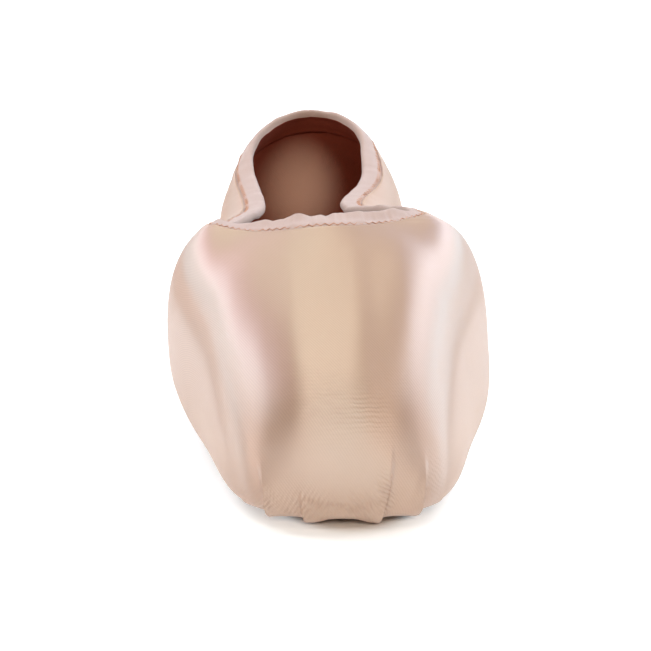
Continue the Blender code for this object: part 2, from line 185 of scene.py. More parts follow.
def closed_spline(knots, values, period, wanted):
    """Smooth closed curve through the rows of values at the knots, read at the wanted places."""
    count = len(knots)
    steps = np.diff(np.append(knots, knots[0] + period))
    before = np.roll(steps, 1)
    slopes = (np.roll(values, -1, axis=0) - values) / steps[:, None]
    middle = np.eye(count)
    matrix = 2 * (before + steps)[:, None] * middle
    matrix += before[:, None] * np.roll(middle, -1, axis=1) + steps[:, None] * np.roll(middle, 1, axis=1)
    bends = np.linalg.solve(matrix, 6 * (slopes - np.roll(slopes, 1, axis=0)))
    left = np.searchsorted(knots, wanted, side="right") - 1
    right = (left + 1) % count
    step = steps[left][:, None]
    done = (wanted - knots[left])[:, None]
    rest = step - done
    curved = (bends[left] * rest ** 3 + bends[right] * done ** 3) / (6 * step)
    from_left = (values[left] / step - bends[left] * step / 6) * rest
    from_right = (values[right] / step - bends[right] * step / 6) * done
    return curved + from_left + from_right


def rib_row(rib, edge):
    """One row of the tables as lengths: belt, topline and sole's edge, then the shape numbers."""
    scale = RIB_SCALES[rib.group]
    opening_length = LENGTH - HEEL_RAKE - THROAT_FROM_TOE
    sole_length = LENGTH - SOLE_TIP_FROM_TOE - SOLE_BACK_FROM_HEEL
    return [
        rib.half * scale.width / 2,
        scale.start + rib.along * scale.span,
        rib.rise * scale.rise,
        rib.top_half * scale.top_width / 2,
        THROAT_FROM_TOE + rib.top_along * opening_length,
        rib.top_rise * scale.top_rise,
        edge.half * edge.width / 2,
        SOLE_TIP_FROM_TOE + edge.along * sole_length,
        rib.crown,
        rib.turn,
        rib.sink * SOLE_THICKNESS,
    ]


SIDEWAYS_COLUMNS = [0, 3, 6]
Guides = namedtuple("Guides", "belt top sole crown turn sink from_toe")


def rib_guides(side_cuts):
    """The tables, mirrored to the other side and read at every rib round the shoe."""
    right = np.array([rib_row(rib, edge) for rib, edge in zip(RIBS, SOLE_EDGE)])
    left = right[-2:0:-1].copy()
    left[:, SIDEWAYS_COLUMNS] *= -1
    rows = np.vstack([right, left])
    cuts = side_cuts + side_cuts[::-1]
    steps = np.linalg.norm(np.roll(rows[:, :3], -1, axis=0) - rows[:, :3], axis=1)
    period = steps.sum()
    knots = np.concatenate([[0.0], np.cumsum(steps)[:-1]])
    wanted = np.concatenate([
        knot + step * np.arange(cut) / cut
        for knot, step, cut in zip(knots, steps, cuts)
    ])
    guides = closed_spline(knots, rows, period, wanted)
    from_toe = np.where(wanted < period / 2, wanted, wanted - period)
    belt, top, sole = guides[:, 0:3], guides[:, 3:6], guides[:, 6:8]
    return Guides(belt, top, sole, guides[:, 8], guides[:, 9], guides[:, 10], from_toe)


def sole_lift(along):
    """Height of the outsole's underside: level under ball and heel, lifted at the arch, tip and back."""
    forefoot_end = FOREFOOT_FLAT_FROM_TOE + FOREFOOT_FLAT_LENGTH
    heel_end = LENGTH - HEEL_FLAT_FROM_HEEL
    heel_start = heel_end - HEEL_FLAT_LENGTH
    arch_share = np.clip((along - forefoot_end) / (heel_start - forefoot_end), 0.0, 1.0)
    arch = ARCH_LIFT * np.sin(math.pi * arch_share) ** 2
    tip = TOE_SPRING * smooth_ramp(-along, -FOREFOOT_FLAT_FROM_TOE, -SOLE_TIP_FROM_TOE)
    back = HEEL_SPRING * smooth_ramp(along, heel_end, LENGTH - SOLE_BACK_FROM_HEEL)
    return arch + tip + back


def seam_height(along):
    """Height of the upper's underside where it is lasted onto the outsole."""
    return sole_lift(along) + SOLE_THICKNESS + GAP


def spoke_centres(guides):
    """Where each rib's spoke meets the sole's middle line: sideways and along."""
    tip = SOLE_TIP_FROM_TOE + SPOKE_CENTRE_INSET
    back = LENGTH - SOLE_BACK_FROM_HEEL - SPOKE_CENTRE_INSET
    along = np.clip(guides.sole[:, 1], tip, back)
    return np.column_stack([np.zeros(len(along)), along])


def sole_ring(guides, inset):
    """The sole's outline moved inwards along the spokes: sideways and along, by rib."""
    centre = spoke_centres(guides)
    spoke = guides.sole - centre
    reach = np.linalg.norm(spoke, axis=1, keepdims=True)
    return centre + spoke * np.maximum(1.0 - inset / reach, 0.0)


def lower_arc(guides, angles):
    """Rib points from the sole's edge (angle 0) round and up to the belt (a right angle)."""
    across = np.sin(angles)[None, :] ** (2 / guides.turn[:, None])
    drop = np.cos(angles)[None, :] ** (2 / guides.turn[:, None])
    seam = seam_height(guides.sole[:, 1])[:, None]
    lowest = seam - guides.sink[:, None]
    belt = guides.belt
    side = guides.sole[:, 0:1] + (belt[:, 0:1] - guides.sole[:, 0:1]) * across
    along = guides.sole[:, 1:2] + (belt[:, 1:2] - guides.sole[:, 1:2]) * across
    tuck = guides.sink[:, None] * (1 - across) ** TUCK_POWER
    height = belt[:, 2:3] - (belt[:, 2:3] - lowest) * drop + tuck
    return np.stack([side, along, height], axis=-1)


def upper_arc(guides, angles):
    """Rib points from the belt (angle 0) up and in to the topline (a right angle)."""
    across = 1 - np.cos(angles)[None, :] ** (2 / guides.crown[:, None])
    rise = np.sin(angles)[None, :] ** (2 / guides.crown[:, None])
    moved = guides.top - guides.belt
    share = np.stack([across, across, rise], axis=-1)
    return guides.belt[:, None, :] + moved[:, None, :] * share


def press_platform(points):
    """Flatten the nose of the last onto the platform's plane. The satin rounds its rim off further."""
    pressed = points.copy()
    along = points[..., 1]
    forward = (SATIN_RIM - PLATFORM_RIM) / 2 * (1 - smooth_ramp(along, 0.0, SATIN_RIM_REACH))
    pressed[..., 1] = soft_max(along, 0.0, SATIN_RIM) - forward
    return pressed


def lean_over(points):
    """The waist sways to one side, and all above the sole leans the same way, as in a slack, empty shoe."""
    side, along, height = points[..., 0], points[..., 1], points[..., 2]
    opening_back = LENGTH - HEEL_RAKE
    share = np.clip((along - THROAT_FROM_TOE) / (opening_back - THROAT_FROM_TOE), 0.0, 1.0)
    sway = WAIST_SWAY * np.sin(math.pi * share) ** 2 * (height / QUARTER_HEIGHT) ** 2
    side = side - sway
    angle = LEAN_ANGLE * smooth_ramp(height, LEAN_START_HEIGHT, LEAN_FULL_HEIGHT)
    leaned_side = side * np.cos(angle) - height * np.sin(angle)
    leaned_height = side * np.sin(angle) + height * np.cos(angle)
    return np.stack([leaned_side, along, leaned_height], axis=-1)


def outward_normals(points):
    """Unit normals of a grid of ribs, closed in the first direction, pointing out of the shoe."""
    round_shoe = np.roll(points, -1, axis=0) - np.roll(points, 1, axis=0)
    up_rib = np.gradient(points, axis=1)
    return unit(np.cross(round_shoe, up_rib))


def wall_thickness(along):
    """Thick in the hardened box, thin in the quarters."""
    share = smooth_ramp(along, BOX_WALL_ENDS, QUARTER_WALL_STARTS)
    return BOX_WALL + (QUARTER_WALL - BOX_WALL) * share


# Where the slack collar gives way: place along the topline from the throat's centre (positive to the right)
# and reach, then how far it moves sideways and up there. All in mm.

Slouch = namedtuple("Slouch", "place reach sideways up")
SLOUCHES = [
    Slouch(-72.0, 22.0, -0.6, 1.0),
    Slouch(33.0, 14.0, -0.6, -1.2),
    Slouch(60.0, 28.0, 0.0, 2.3),
    Slouch(117.0, 27.0, 3.4, 0.0),
]
SLOUCH_FROM = 4.0
SLOUCH_TO = 26.0


def rib_lengths(points):
    """Length along each rib from the sole's seam to each of its points."""
    steps = np.linalg.norm(np.diff(points, axis=1), axis=2)
    return np.concatenate([np.zeros((len(points), 1)), np.cumsum(steps, axis=1)], axis=1)


def topline_place(top):
    """Distance of each rib's top from the throat's centre along the topline, positive to the right, in mm."""
    steps = np.linalg.norm(np.roll(top, -1, axis=0) - top, axis=1)
    place = np.concatenate([[0.0], np.cumsum(steps)[:-1]])
    total = steps.sum()
    return np.where(place < total / 2, place, place - total) / MM


Skin = namedtuple("Skin", "points normals travelled guides place")


def fine_skin(cuts):
    """The last's outer face on fine ribs, from the seam up to the topline, with lengths from the seam."""
    guides = rib_guides(cuts)
    shares = np.linspace(0.0, 1.0, RIB_SAMPLES)
    lower = lower_arc(guides, shares ** 1.5 * math.pi / 2)
    upper = upper_arc(guides, shares[1:] * math.pi / 2)
    points = np.concatenate([lower, upper], axis=1)
    points = lean_over(press_platform(points))
    travelled = rib_lengths(points)
    place = topline_place(points[:, -1])
    near_top = 1 - smooth_ramp((travelled[:, -1:] - travelled) / MM, SLOUCH_FROM, SLOUCH_TO)
    for slouch in SLOUCHES:
        share = bell(place, slouch.place, slouch.reach)[:, None] * near_top
        points[..., 0] += share * slouch.sideways * MM
        points[..., 2] += share * slouch.up * MM
    return Skin(points, outward_normals(points), rib_lengths(points), guides, place)


THROAT_EXTRA = 0.0030
THROAT_REACH = 26.0


def casing_width(place):
    """Width of the casing that shows above the satin: wider at the middle of the throat."""
    return BINDING_WIDTH + THROAT_EXTRA * bell(place, 0.0, THROAT_REACH)


def read_skin(skin, wanted):
    """Points and normals at lengths from the seam: wanted has a row for each rib."""
    columns = np.concatenate([skin.points, skin.normals], axis=2)
    found = np.empty((len(wanted), wanted.shape[1], columns.shape[2]))
    for i, rib in enumerate(columns):
        for k in range(columns.shape[2]):
            found[i, :, k] = np.interp(wanted[i], skin.travelled[i], rib[:, k])
    return found[..., :3], unit(found[..., 3:])


# Uneven waves along a line, as lengths, strengths and shifts of the sines that make them up. Lengths and
# strengths in mm, shifts in radians.

HOLLOW_WAVES = ((41.0, 23.0, 14.0), (0.45, 0.28, 0.14), (0.4, 2.1, 4.0))
GATHER_WAVES = ((6.1, 4.3, 2.9), (0.16, 0.12, 0.07), (0.2, 1.3, 2.9))
LINING_WAVES = ((33.0, 17.0, 9.0), (0.06, 0.04, 0.025), (0.3, 2.0, 4.4))
FINE_CASING_WAVES = ((2.3, 1.7, 3.4), (0.05, 0.03, 0.05), (0.0, 1.0, 2.2))
BROAD_CASING_WAVES = ((8.3, 5.1, 13.0), (0.07, 0.06, 0.10), (0.7, 2.6, 4.1))
RIM_WAVES = ((9.7, 15.1), (0.06, 0.08), (0.5, 1.9))


def waves(place, table):
    """A table of waves read along a line."""
    total = np.zeros(np.shape(place))
    for length, strength, shift in zip(*table):
        total = total + strength * np.sin(2 * math.pi * place / length + shift)
    return total


# Folds of the satin under the platform. A fold ends in an edge: foot is its distance from the toe's centre
# along the belt at the floor, lean how far the edge moves outwards up to the platform's height, depth how far
# it stands proud, soft the width over which it drops, and the last two are the heights where it starts to
# fade and where it has gone. All in mm.

Fold = namedtuple("Fold", "side foot lean depth soft fade_from top")
FOLDS = [
    Fold("left",  10.0, 1.5, 0.95, 0.35, 3.0, 9.5),
    Fold("left",  20.2, 1.0, 1.30, 0.60, 7.0, 17.0),
    Fold("left",  29.5, 2.0, 0.45, 0.70, 2.0, 6.0),
    Fold("left",  38.5, 3.0, 0.40, 0.80, 1.5, 5.5),
    Fold("left",  49.0, 3.0, 0.35, 0.90, 1.5, 5.0),
    Fold("left",  60.0, 4.0, 0.35, 1.00, 1.5, 5.0),
    Fold("right",  8.9, 5.5, 1.00, 0.30, 6.0, 21.0),
    Fold("right", 19.8, 3.0, 1.20, 0.55, 8.0, 19.0),
    Fold("right", 29.0, 2.0, 0.45, 0.70, 2.0, 6.0),
    Fold("right", 38.0, 3.0, 0.40, 0.80, 1.5, 5.5),
    Fold("right", 48.5, 3.0, 0.35, 0.90, 1.5, 5.0),
    Fold("right", 59.5, 4.0, 0.35, 1.00, 1.5, 5.0),
]
LOBE_PLACES = (-7.6, 7.4)
LOBE_REACH = 4.6
LOBE_DROP = 0.55


def fold_relief(from_toe, height):
    """How far the gathered satin stands out, in metres, by distance along the belt and height."""
    relief = np.zeros(height.shape)
    for side, sign in (("left", -1.0), ("right", 1.0)):
        start = np.zeros(height.shape)
        place = sign * from_toe[:, None] / MM * np.ones(height.shape)
        for fold in FOLDS:
            if fold.side != side:
                continue
            end = fold.foot + fold.lean * height / PLATFORM_HEIGHT
            gone = smooth_ramp(height / MM, fold.fade_from, fold.top)
            done = np.clip((place - start) / (end - start), 0.0, 1.0)
            drop = smooth_ramp(place, end - fold.soft * 0.2, end + fold.soft * (1.0 + 2.0 * gone))
            rise = done ** 2 * (place >= start)
            relief += fold.depth * MM * rise * (1 - drop) * (1 - gone)
            start = end
    return relief


# Heights in mm between which the lobes fade out

LOBE_HEIGHTS = (2.0, 6.0)


def lobe_drop(from_toe, height):
    """The tab in the middle of the toe hangs lower in two rounded lobes."""
    place = from_toe[:, None] / MM
    low = 1 - smooth_ramp(height / MM, *LOBE_HEIGHTS)
    drop = np.zeros(height.shape)
    for middle in LOBE_PLACES:
        drop += LOBE_DROP * MM * bell(place, middle, LOBE_REACH) * low
    return drop


# Wrinkles of the satin: middle and reach round the shoe from the toe's centre (positive to the right) and up
# from the floor, then depth, direction of the crests and wavelength. Lengths in mm, direction in degrees.

Wrinkle = namedtuple("Wrinkle", "place spread height reach depth direction length shift")
WRINKLES = [
    Wrinkle(-9.0, 4.0, 5.5, 3.5, 0.11, 60.0, 1.1, 0.3),
    Wrinkle(-3.0, 6.0, 5.0, 3.5, 0.10, 62.0, 1.3, 1.1),
    Wrinkle(5.0, 4.5, 5.5, 3.5, 0.11, -55.0, 1.2, 2.0),
    Wrinkle(9.6, 2.2, 8.0, 5.0, 0.16, -35.0, 1.1, 0.7),
    Wrinkle(20.0, 4.0, 9.0, 8.0, 0.10, -40.0, 1.2, 0.2),
    Wrinkle(-19.0, 3.5, 7.0, 5.0, 0.08, 48.0, 1.1, 0.9),
    Wrinkle(1.0, 13.0, 25.0, 7.0, 0.075, 4.0, 1.7, 1.4),
]


# The crests of a wrinkle swing from side to side: how far and over what length, both in wavelengths

WRINKLE_BEND = 0.35
WRINKLE_BEND_LENGTH = 3.7


def wrinkle_relief(from_toe, height):
    """Small wrinkles in patches, in metres."""
    place = from_toe[:, None] / MM * np.ones(height.shape)
    up = height / MM
    relief = np.zeros(height.shape)
    for w in WRINKLES:
        patch = bell(place, w.place, w.spread) * bell(up, w.height, w.reach)
        angle = math.radians(w.direction)
        across = (up - w.height) * math.cos(angle) - (place - w.place) * math.sin(angle)
        along = (up - w.height) * math.sin(angle) + (place - w.place) * math.cos(angle)
        bend = np.sin(2 * math.pi * along / (WRINKLE_BEND_LENGTH * w.length) + w.shift)
        bent = across + WRINKLE_BEND * w.length * bend
        relief += w.depth * MM * patch * np.sin(2 * math.pi * bent / w.length + w.shift)
    return relief


# Soft ridges and troughs that run up the box: distance from the middle line, how far that moves outwards over
# the height step, reach to each side and rise. All in mm.

Ridge = namedtuple("Ridge", "place lean reach rise")
BOX_RIDGES = [
    Ridge(-26.0, -0.6, 10.4, -0.32),
    Ridge(-12.0, 5.3, 12.9, 0.14),
    Ridge(-1.0, 0.0, 9.0, -0.34),
    Ridge(17.8, 1.0, 8.9, 0.38),
    Ridge(26.3, 0.3, 8.9, -0.37),
]
RIDGE_BASE_HEIGHT = 30.0
RIDGE_HEIGHT_STEP = 20.0
RIDGE_MIDDLE = 38.0
RIDGE_SPAN = 24.0
RIDGE_FULL = 58.0
RIDGE_GONE = 78.0


def box_relief(points):
    """The box's ridges and troughs, in metres."""
    upright = points[..., 0] + math.tan(LEAN_ANGLE) * np.maximum(points[..., 2] - SOLE_THICKNESS, 0.0)
    height = points[..., 2] / MM
    steps = (height - RIDGE_BASE_HEIGHT) / RIDGE_HEIGHT_STEP
    relief = np.zeros(height.shape)
    for ridge in BOX_RIDGES:
        relief += ridge.rise * bell(upright / MM, ridge.place + ridge.lean * steps, ridge.reach)
    ends = 1 - smooth_ramp(points[..., 1] / MM, RIDGE_FULL, RIDGE_GONE)
    return MM * relief * bell(height, RIDGE_MIDDLE, RIDGE_SPAN) * ends


# The slack of the quarters, in mm: where its hollows start and end along the shoe, their height and reach,
# how far the waves move towards either end on each side, how far below the edge the gathers reach and where
# they start. The deeper layers take on a share of the hollows at the edge, and all of them further down.

SLACK_STARTS = (85.0, 120.0)
SLACK_ENDS = (205.0, 228.0)
SLACK_HEIGHT = 26.0
SLACK_REACH = 22.0
SIDE_SHIFTS = (9.0, 5.0)
GATHER_REACH = 9.0
GATHERS_START = (70.0, 95.0)
DEEP_SHARE = 0.35
DEEP_SHARE_FULL = (3.0, 14.0)


def quarter_hollows(points, from_toe):
    """Soft hollows and rises in the slack quarters of the empty shoe."""
    along = points[..., 1] / MM
    extent = smooth_ramp(along, *SLACK_STARTS) * (1 - smooth_ramp(along, *SLACK_ENDS))
    shifted = along + SIDE_SHIFTS[0] * np.sign(from_toe)[:, None]
    return MM * waves(shifted, HOLLOW_WAVES) * extent * bell(points[..., 2] / MM, SLACK_HEIGHT, SLACK_REACH)


def edge_gathers(points, from_toe, to_edge):
    """Small gathers of the satin where the casing draws it in."""
    along = points[..., 1] / MM
    shifted = along + SIDE_SHIFTS[1] * np.sign(from_toe)[:, None]
    extent = bell(to_edge / MM, 0.0, GATHER_REACH) * smooth_ramp(along, *GATHERS_START)
    return MM * waves(shifted, GATHER_WAVES) * extent


def rows_of(skin, top_edge, shares):
    """Points and normals of the last at shares of the way up, with lengths from the seam and to the edge."""
    wanted = top_edge[:, None] * shares[None, :]
    points, normals = read_skin(skin, wanted)
    return points, normals, wanted, top_edge[:, None] - wanted


def follow_hollows(points, normals, from_toe, to_edge):
    """A layer below the satin's face, moved with the hollows, less of it close to the casing."""
    share = DEEP_SHARE + (1 - DEEP_SHARE) * smooth_ramp(to_edge / MM, *DEEP_SHARE_FULL)
    return points + normals * (share * quarter_hollows(points, from_toe))[..., None]


# The cloth's own flat coordinates. The lengthwise threads run from under the toe up over the box, along the
# shoe and down the heel: round one axis across the shoe at the box, and round another one at the heel.

TOE_AXIS = (0.060, -0.010)
HEEL_AXIS = (0.190, -0.010)
CLOTH_RADIUS = 0.062
CLOTH_SPREAD = 0.008


def cloth_place(points):
    """Flat place of each point of the cloth: crosswise from the middle line, and lengthwise from the toe."""
    side, along, height = points[..., 0], points[..., 1], points[..., 2]
    up = height - TOE_AXIS[1]
    ahead = np.maximum(TOE_AXIS[0] - along, 0.0)
    behind = np.maximum(along - HEEL_AXIS[0], 0.0)
    level = np.clip(along, TOE_AXIS[0], HEEL_AXIS[0]) - TOE_AXIS[0]
    toe_turn = np.arctan2(up, ahead)
    heel_turn = math.pi / 2 - np.arctan2(up, behind)
    lengthwise = CLOTH_RADIUS * (toe_turn + heel_turn) + level
    reach = np.hypot(up, ahead + behind)
    fall = soft_max(CLOTH_RADIUS - reach, 0.0, 0.002)
    crosswise = side * (1 + fall / (np.abs(side) + CLOTH_SPREAD))
    return np.stack([crosswise, lengthwise], axis=-1)


# The satin's edge dips a little where the casing starts, more at the middle of the throat than at its sides,
# and not at all behind the last of the places along the shoe. The folds and lobes grow in between two
# lengths from the seam. All in mm.

EDGE_DIP = 0.25
EDGE_DIP_SIDES = 0.10
EDGE_DIP_REACH = 7.0
DIP_SIDES = (9.0, 22.0)
DIP_PLACES = (95.0, 120.0)
LEAVE_SOLE = (1.5, 6.0)


def skin_of_satin(skin, top_edge):
    """The satin's outer face with its folds and wrinkles, and the flat coordinates of its weave."""
    shares = np.linspace(0.0, 1.0, SATIN_ROWS) ** ROW_POWER
    points, normals, from_seam, to_edge = rows_of(skin, top_edge, shares)
    from_toe = skin.guides.from_toe
    height = points[..., 2]
    leave_sole = smooth_ramp(from_seam / MM, *LEAVE_SOLE)
    relief = fold_relief(from_toe, height) * leave_sole + wrinkle_relief(from_toe, height)
    relief = relief + quarter_hollows(points, from_toe) + edge_gathers(points, from_toe, to_edge)
    relief = relief + box_relief(points)
    side_share = smooth_ramp(np.abs(points[..., 0] - points[:, -1:, 0].mean()) / MM, *DIP_SIDES)
    dip = bell(to_edge / MM, 0.0, EDGE_DIP_REACH) * (EDGE_DIP - (EDGE_DIP - EDGE_DIP_SIDES) * side_share)
    relief = relief - MM * dip * (1 - smooth_ramp(points[..., 1] / MM, *DIP_PLACES))
    points = points + normals * relief[..., None]
    points[..., 2] -= lobe_drop(from_toe, height) * leave_sole
    return points, cloth_place(points)


def new_piece(name, points, uv, closed_rows=True, materials=(), back_from=None, wraps=True):
    """A closed grid of ribs as a mesh object: points by rib, then by row round the section."""
    ribs, rows = points.shape[:2]
    ids = np.arange(ribs * rows).reshape(ribs, rows)
    following = np.roll(ids, -1, axis=0)
    if closed_rows:
        a, b = ids, following
        c, d = np.roll(following, -1, axis=1), np.roll(ids, -1, axis=1)
    else:
        a, b = ids[:, :-1], following[:, :-1]
        c, d = following[:, 1:], ids[:, 1:]
    faces = np.stack([a, b, c, d], axis=-1).reshape(-1, 4)
    mesh = bpy.data.meshes.new(name)
    mesh.from_pydata((points - CENTRE).reshape(-1, 3).tolist(), [], faces.tolist())
    layer = mesh.uv_layers.new(name="weave")
    corner = uv.reshape(-1, 2)[faces] / MM
    if wraps:
        seam = corner[:, 0, 0] - corner[:, 1, 0]
        period = corner[..., 0].max() - corner[..., 0].min()
        jump = np.abs(seam) > period / 2
        corner[jump, 1:3, 0] += np.sign(seam[jump])[:, None] * period
    layer.data.foreach_set("uv", corner.reshape(-1).astype(np.float32))
    for material in materials:
        mesh.materials.append(material)
    if back_from is not None:
        row_of_face = np.tile(np.arange(a.shape[1]), ribs)
        mesh.polygons.foreach_set("material_index", (row_of_face >= back_from).astype(np.int32))
    mesh.shade_smooth()
    mesh.update()
    piece = bpy.data.objects.new(name, mesh)
    bpy.context.scene.collection.objects.link(piece)
    return piece


# Materials

def srgb(red, green, blue):
    """A screen colour of 0 to 255 as linear numbers for a shader."""
    shares = [value / 255.0 for value in (red, green, blue)]
    return tuple(s / 12.92 if s <= 0.04045 else ((s + 0.055) / 1.055) ** 2.4 for s in shares) + (1.0,)


def new_material(name, **inputs):
    """A material with its node tree and its Principled shader, whose fixed inputs are set by name."""
    material = bpy.data.materials.new(name)
    material.use_nodes = True
    tree = material.node_tree
    shader = tree.nodes["Principled BSDF"]
    for key, value in inputs.items():
        shader.inputs[key.replace("_", " ")].default_value = value
    return material, tree, shader


def node(tree, kind, settings=(), **inputs):
    """A new node with settings on it. Inputs go by number (i0, i1) or name, as values or other outputs."""
    made = tree.nodes.new(kind)
    for key, value in dict(settings).items():
        setattr(made, key, value)
    for key, value in inputs.items():
        numbered = key[0] == "i" and key[1:].isdigit()
        socket = made.inputs[int(key[1:]) if numbered else key.replace("_", " ")]
        if isinstance(value, bpy.types.NodeSocket):
            tree.links.new(value, socket)
        else:
            socket.default_value = value
    return made


def maths(tree, operation, first, second=0.0, third=0.0):
    """One step of arithmetic in a node tree."""
    return node(tree, "ShaderNodeMath", {"operation": operation}, i0=first, i1=second, i2=third).outputs[0]


def ramp(tree, value, start, end, low=0.0, high=1.0, soft=True):
    """The value's way from start to end carried over to low to high, and held beyond both ends."""
    kind = {"interpolation_type": "SMOOTHSTEP" if soft else "LINEAR"}
    return node(tree, "ShaderNodeMapRange", kind, i0=value, i1=start, i2=end, i3=low, i4=high).outputs[0]


def noise(tree, place, scale, detail, roughness=0.5):
    """Cloudy noise from 0 to 1."""
    made = node(tree, "ShaderNodeTexNoise", i0=place, Scale=scale, Detail=detail, Roughness=roughness)
    return made.outputs[0]


def stretched(tree, place, scale, turn=0.0):
    """Coordinates scaled each way and turned, for marks that run in one direction."""
    made = node(tree, "ShaderNodeMapping", i0=place, Scale=(*scale, 1.0), Rotation=(0.0, 0.0, turn))
    return made.outputs[0]


def blend(tree, share, first, second, kind="MIX"):
    """Two colours mixed by a share. With MULTIPLY the second one darkens the first."""
    settings = {"data_type": "RGBA", "blend_type": kind}
    return node(tree, "ShaderNodeMix", settings, i0=share, i6=first, i7=second).outputs[2]


def bump(tree, height, strength, distance, **under):
    """A shading normal from a height, on top of the Normal given, if there is one."""
    made = node(tree, "ShaderNodeBump", Strength=strength, Distance=distance, Height=height, **under)
    return made.outputs[0]


def weave_axes(tree):
    """The flat coordinates of the cloth in mm, then their two parts: round the shoe and up it."""
    uv = node(tree, "ShaderNodeUVMap", {"uv_map": "weave"})
    split = node(tree, "ShaderNodeSeparateXYZ", i0=uv.outputs[0])
    return uv.outputs[0], split.outputs[0], split.outputs[1]


def object_axes(tree):
    """Each point's place on the object in metres: sideways, along and up."""
    place = node(tree, "ShaderNodeTexCoord")
    return node(tree, "ShaderNodeSeparateXYZ", i0=place.outputs["Object"]).outputs


def ripple(tree, across, up, pitch, slope):
    """Lines of a pitch in mm whose direction leans by the slope, from -1 to 1."""
    leaning = maths(tree, "MULTIPLY_ADD", up, slope, across)
    return maths(tree, "SINE", maths(tree, "MULTIPLY", leaning, 2 * math.pi / pitch))


def distance_squared(tree, across, up, middle, reach):
    """Squared distance from a middle, in reaches: 1 on the edge of an oval."""
    sideways = maths(tree, "DIVIDE", maths(tree, "SUBTRACT", across, middle[0]), reach[0])
    upwards = maths(tree, "DIVIDE", maths(tree, "SUBTRACT", up, middle[1]), reach[1])
    return maths(tree, "MULTIPLY_ADD", sideways, sideways, maths(tree, "MULTIPLY", upwards, upwards))


# Fine crinkles of the satin at the toe: middle across and up, reach of each, direction of the crests, pitch
# and strength. Lengths in mm, direction in degrees.

Crinkle = namedtuple("Crinkle", "across up reach rise direction pitch strength")
CRINKLES = [
    Crinkle(-3.0, 29.5, 6.5, 6.0, 2.0, 1.05, 2.0),
    Crinkle(6.0, 29.0, 6.0, 6.0, 2.0, 1.05, 1.5),
    Crinkle(-5.0, 5.5, 6.0, 3.6, 62.0, 1.10, 2.1),
    Crinkle(5.0, 5.5, 5.0, 3.8, -58.0, 1.05, 2.0),
    Crinkle(10.6, 8.5, 1.7, 4.4, -28.0, 0.95, 3.4),
    Crinkle(22.0, 9.0, 2.2, 7.0, -35.0, 1.00, 1.2),
    Crinkle(-18.0, 6.0, 5.0, 4.0, 40.0, 1.00, 1.1),
]
CRINKLE_FRONT = (-0.060, -0.085)
CRINKLE_UNREST = 9.0
CRINKLE_DEPTH = 0.00003


def crinkle_height(tree, place, lengthwise, unrest):
    """The crinkles as one height of a few units each way, only on the front of the toe."""
    across = maths(tree, "DIVIDE", place[0], MM)
    up = maths(tree, "DIVIDE", place[2], MM)
    drift = maths(tree, "MULTIPLY", unrest, CRINKLE_UNREST)
    total = 0.0
    for c in CRINKLES:
        far = distance_squared(tree, across, up, (c.across, c.up), (c.reach, c.rise))
        near = maths(tree, "EXPONENT", maths(tree, "MULTIPLY", far, -1.0))
        turns = 2 * math.pi / c.pitch
        angle = math.radians(c.direction)
        phase = maths(tree, "MULTIPLY_ADD", lengthwise, turns * math.cos(angle), drift)
        phase = maths(tree, "MULTIPLY_ADD", across, -turns * math.sin(angle), phase)
        strength = maths(tree, "MULTIPLY", near, c.strength)
        total = maths(tree, "MULTIPLY_ADD", maths(tree, "SINE", phase), strength, total)
    return maths(tree, "MULTIPLY", total, ramp(tree, place[1], *CRINKLE_FRONT))


# The satin's weave: pitch of its twill and weft in mm, how far the twill leans, and how deep the weave and
# the drape are in metres. Between the worn heights the cloth turns duller and darker towards the floor, and
# between the faded heights its twill turns fainter. Between the slack places it turns duller towards the
# heel. Heights and places are the object's own metres.

TWILL_PITCH = 0.70
TWILL_LEAN = 0.75
WEFT_PITCH = 0.36
TWILL_DEPTH = 0.00003
DRAPE_DEPTH = 0.0004
WORN_HEIGHTS = (0.020, 0.001)
FADED_HEIGHTS = (0.014, 0.027)
SLACK_PLACES = (-0.050, 0.010)
SATIN_SHEEN = {"Sheen_Weight": 0.10, "Sheen_Roughness": 0.35, "Sheen_Tint": (1.0, 0.96, 0.95, 1.0)}


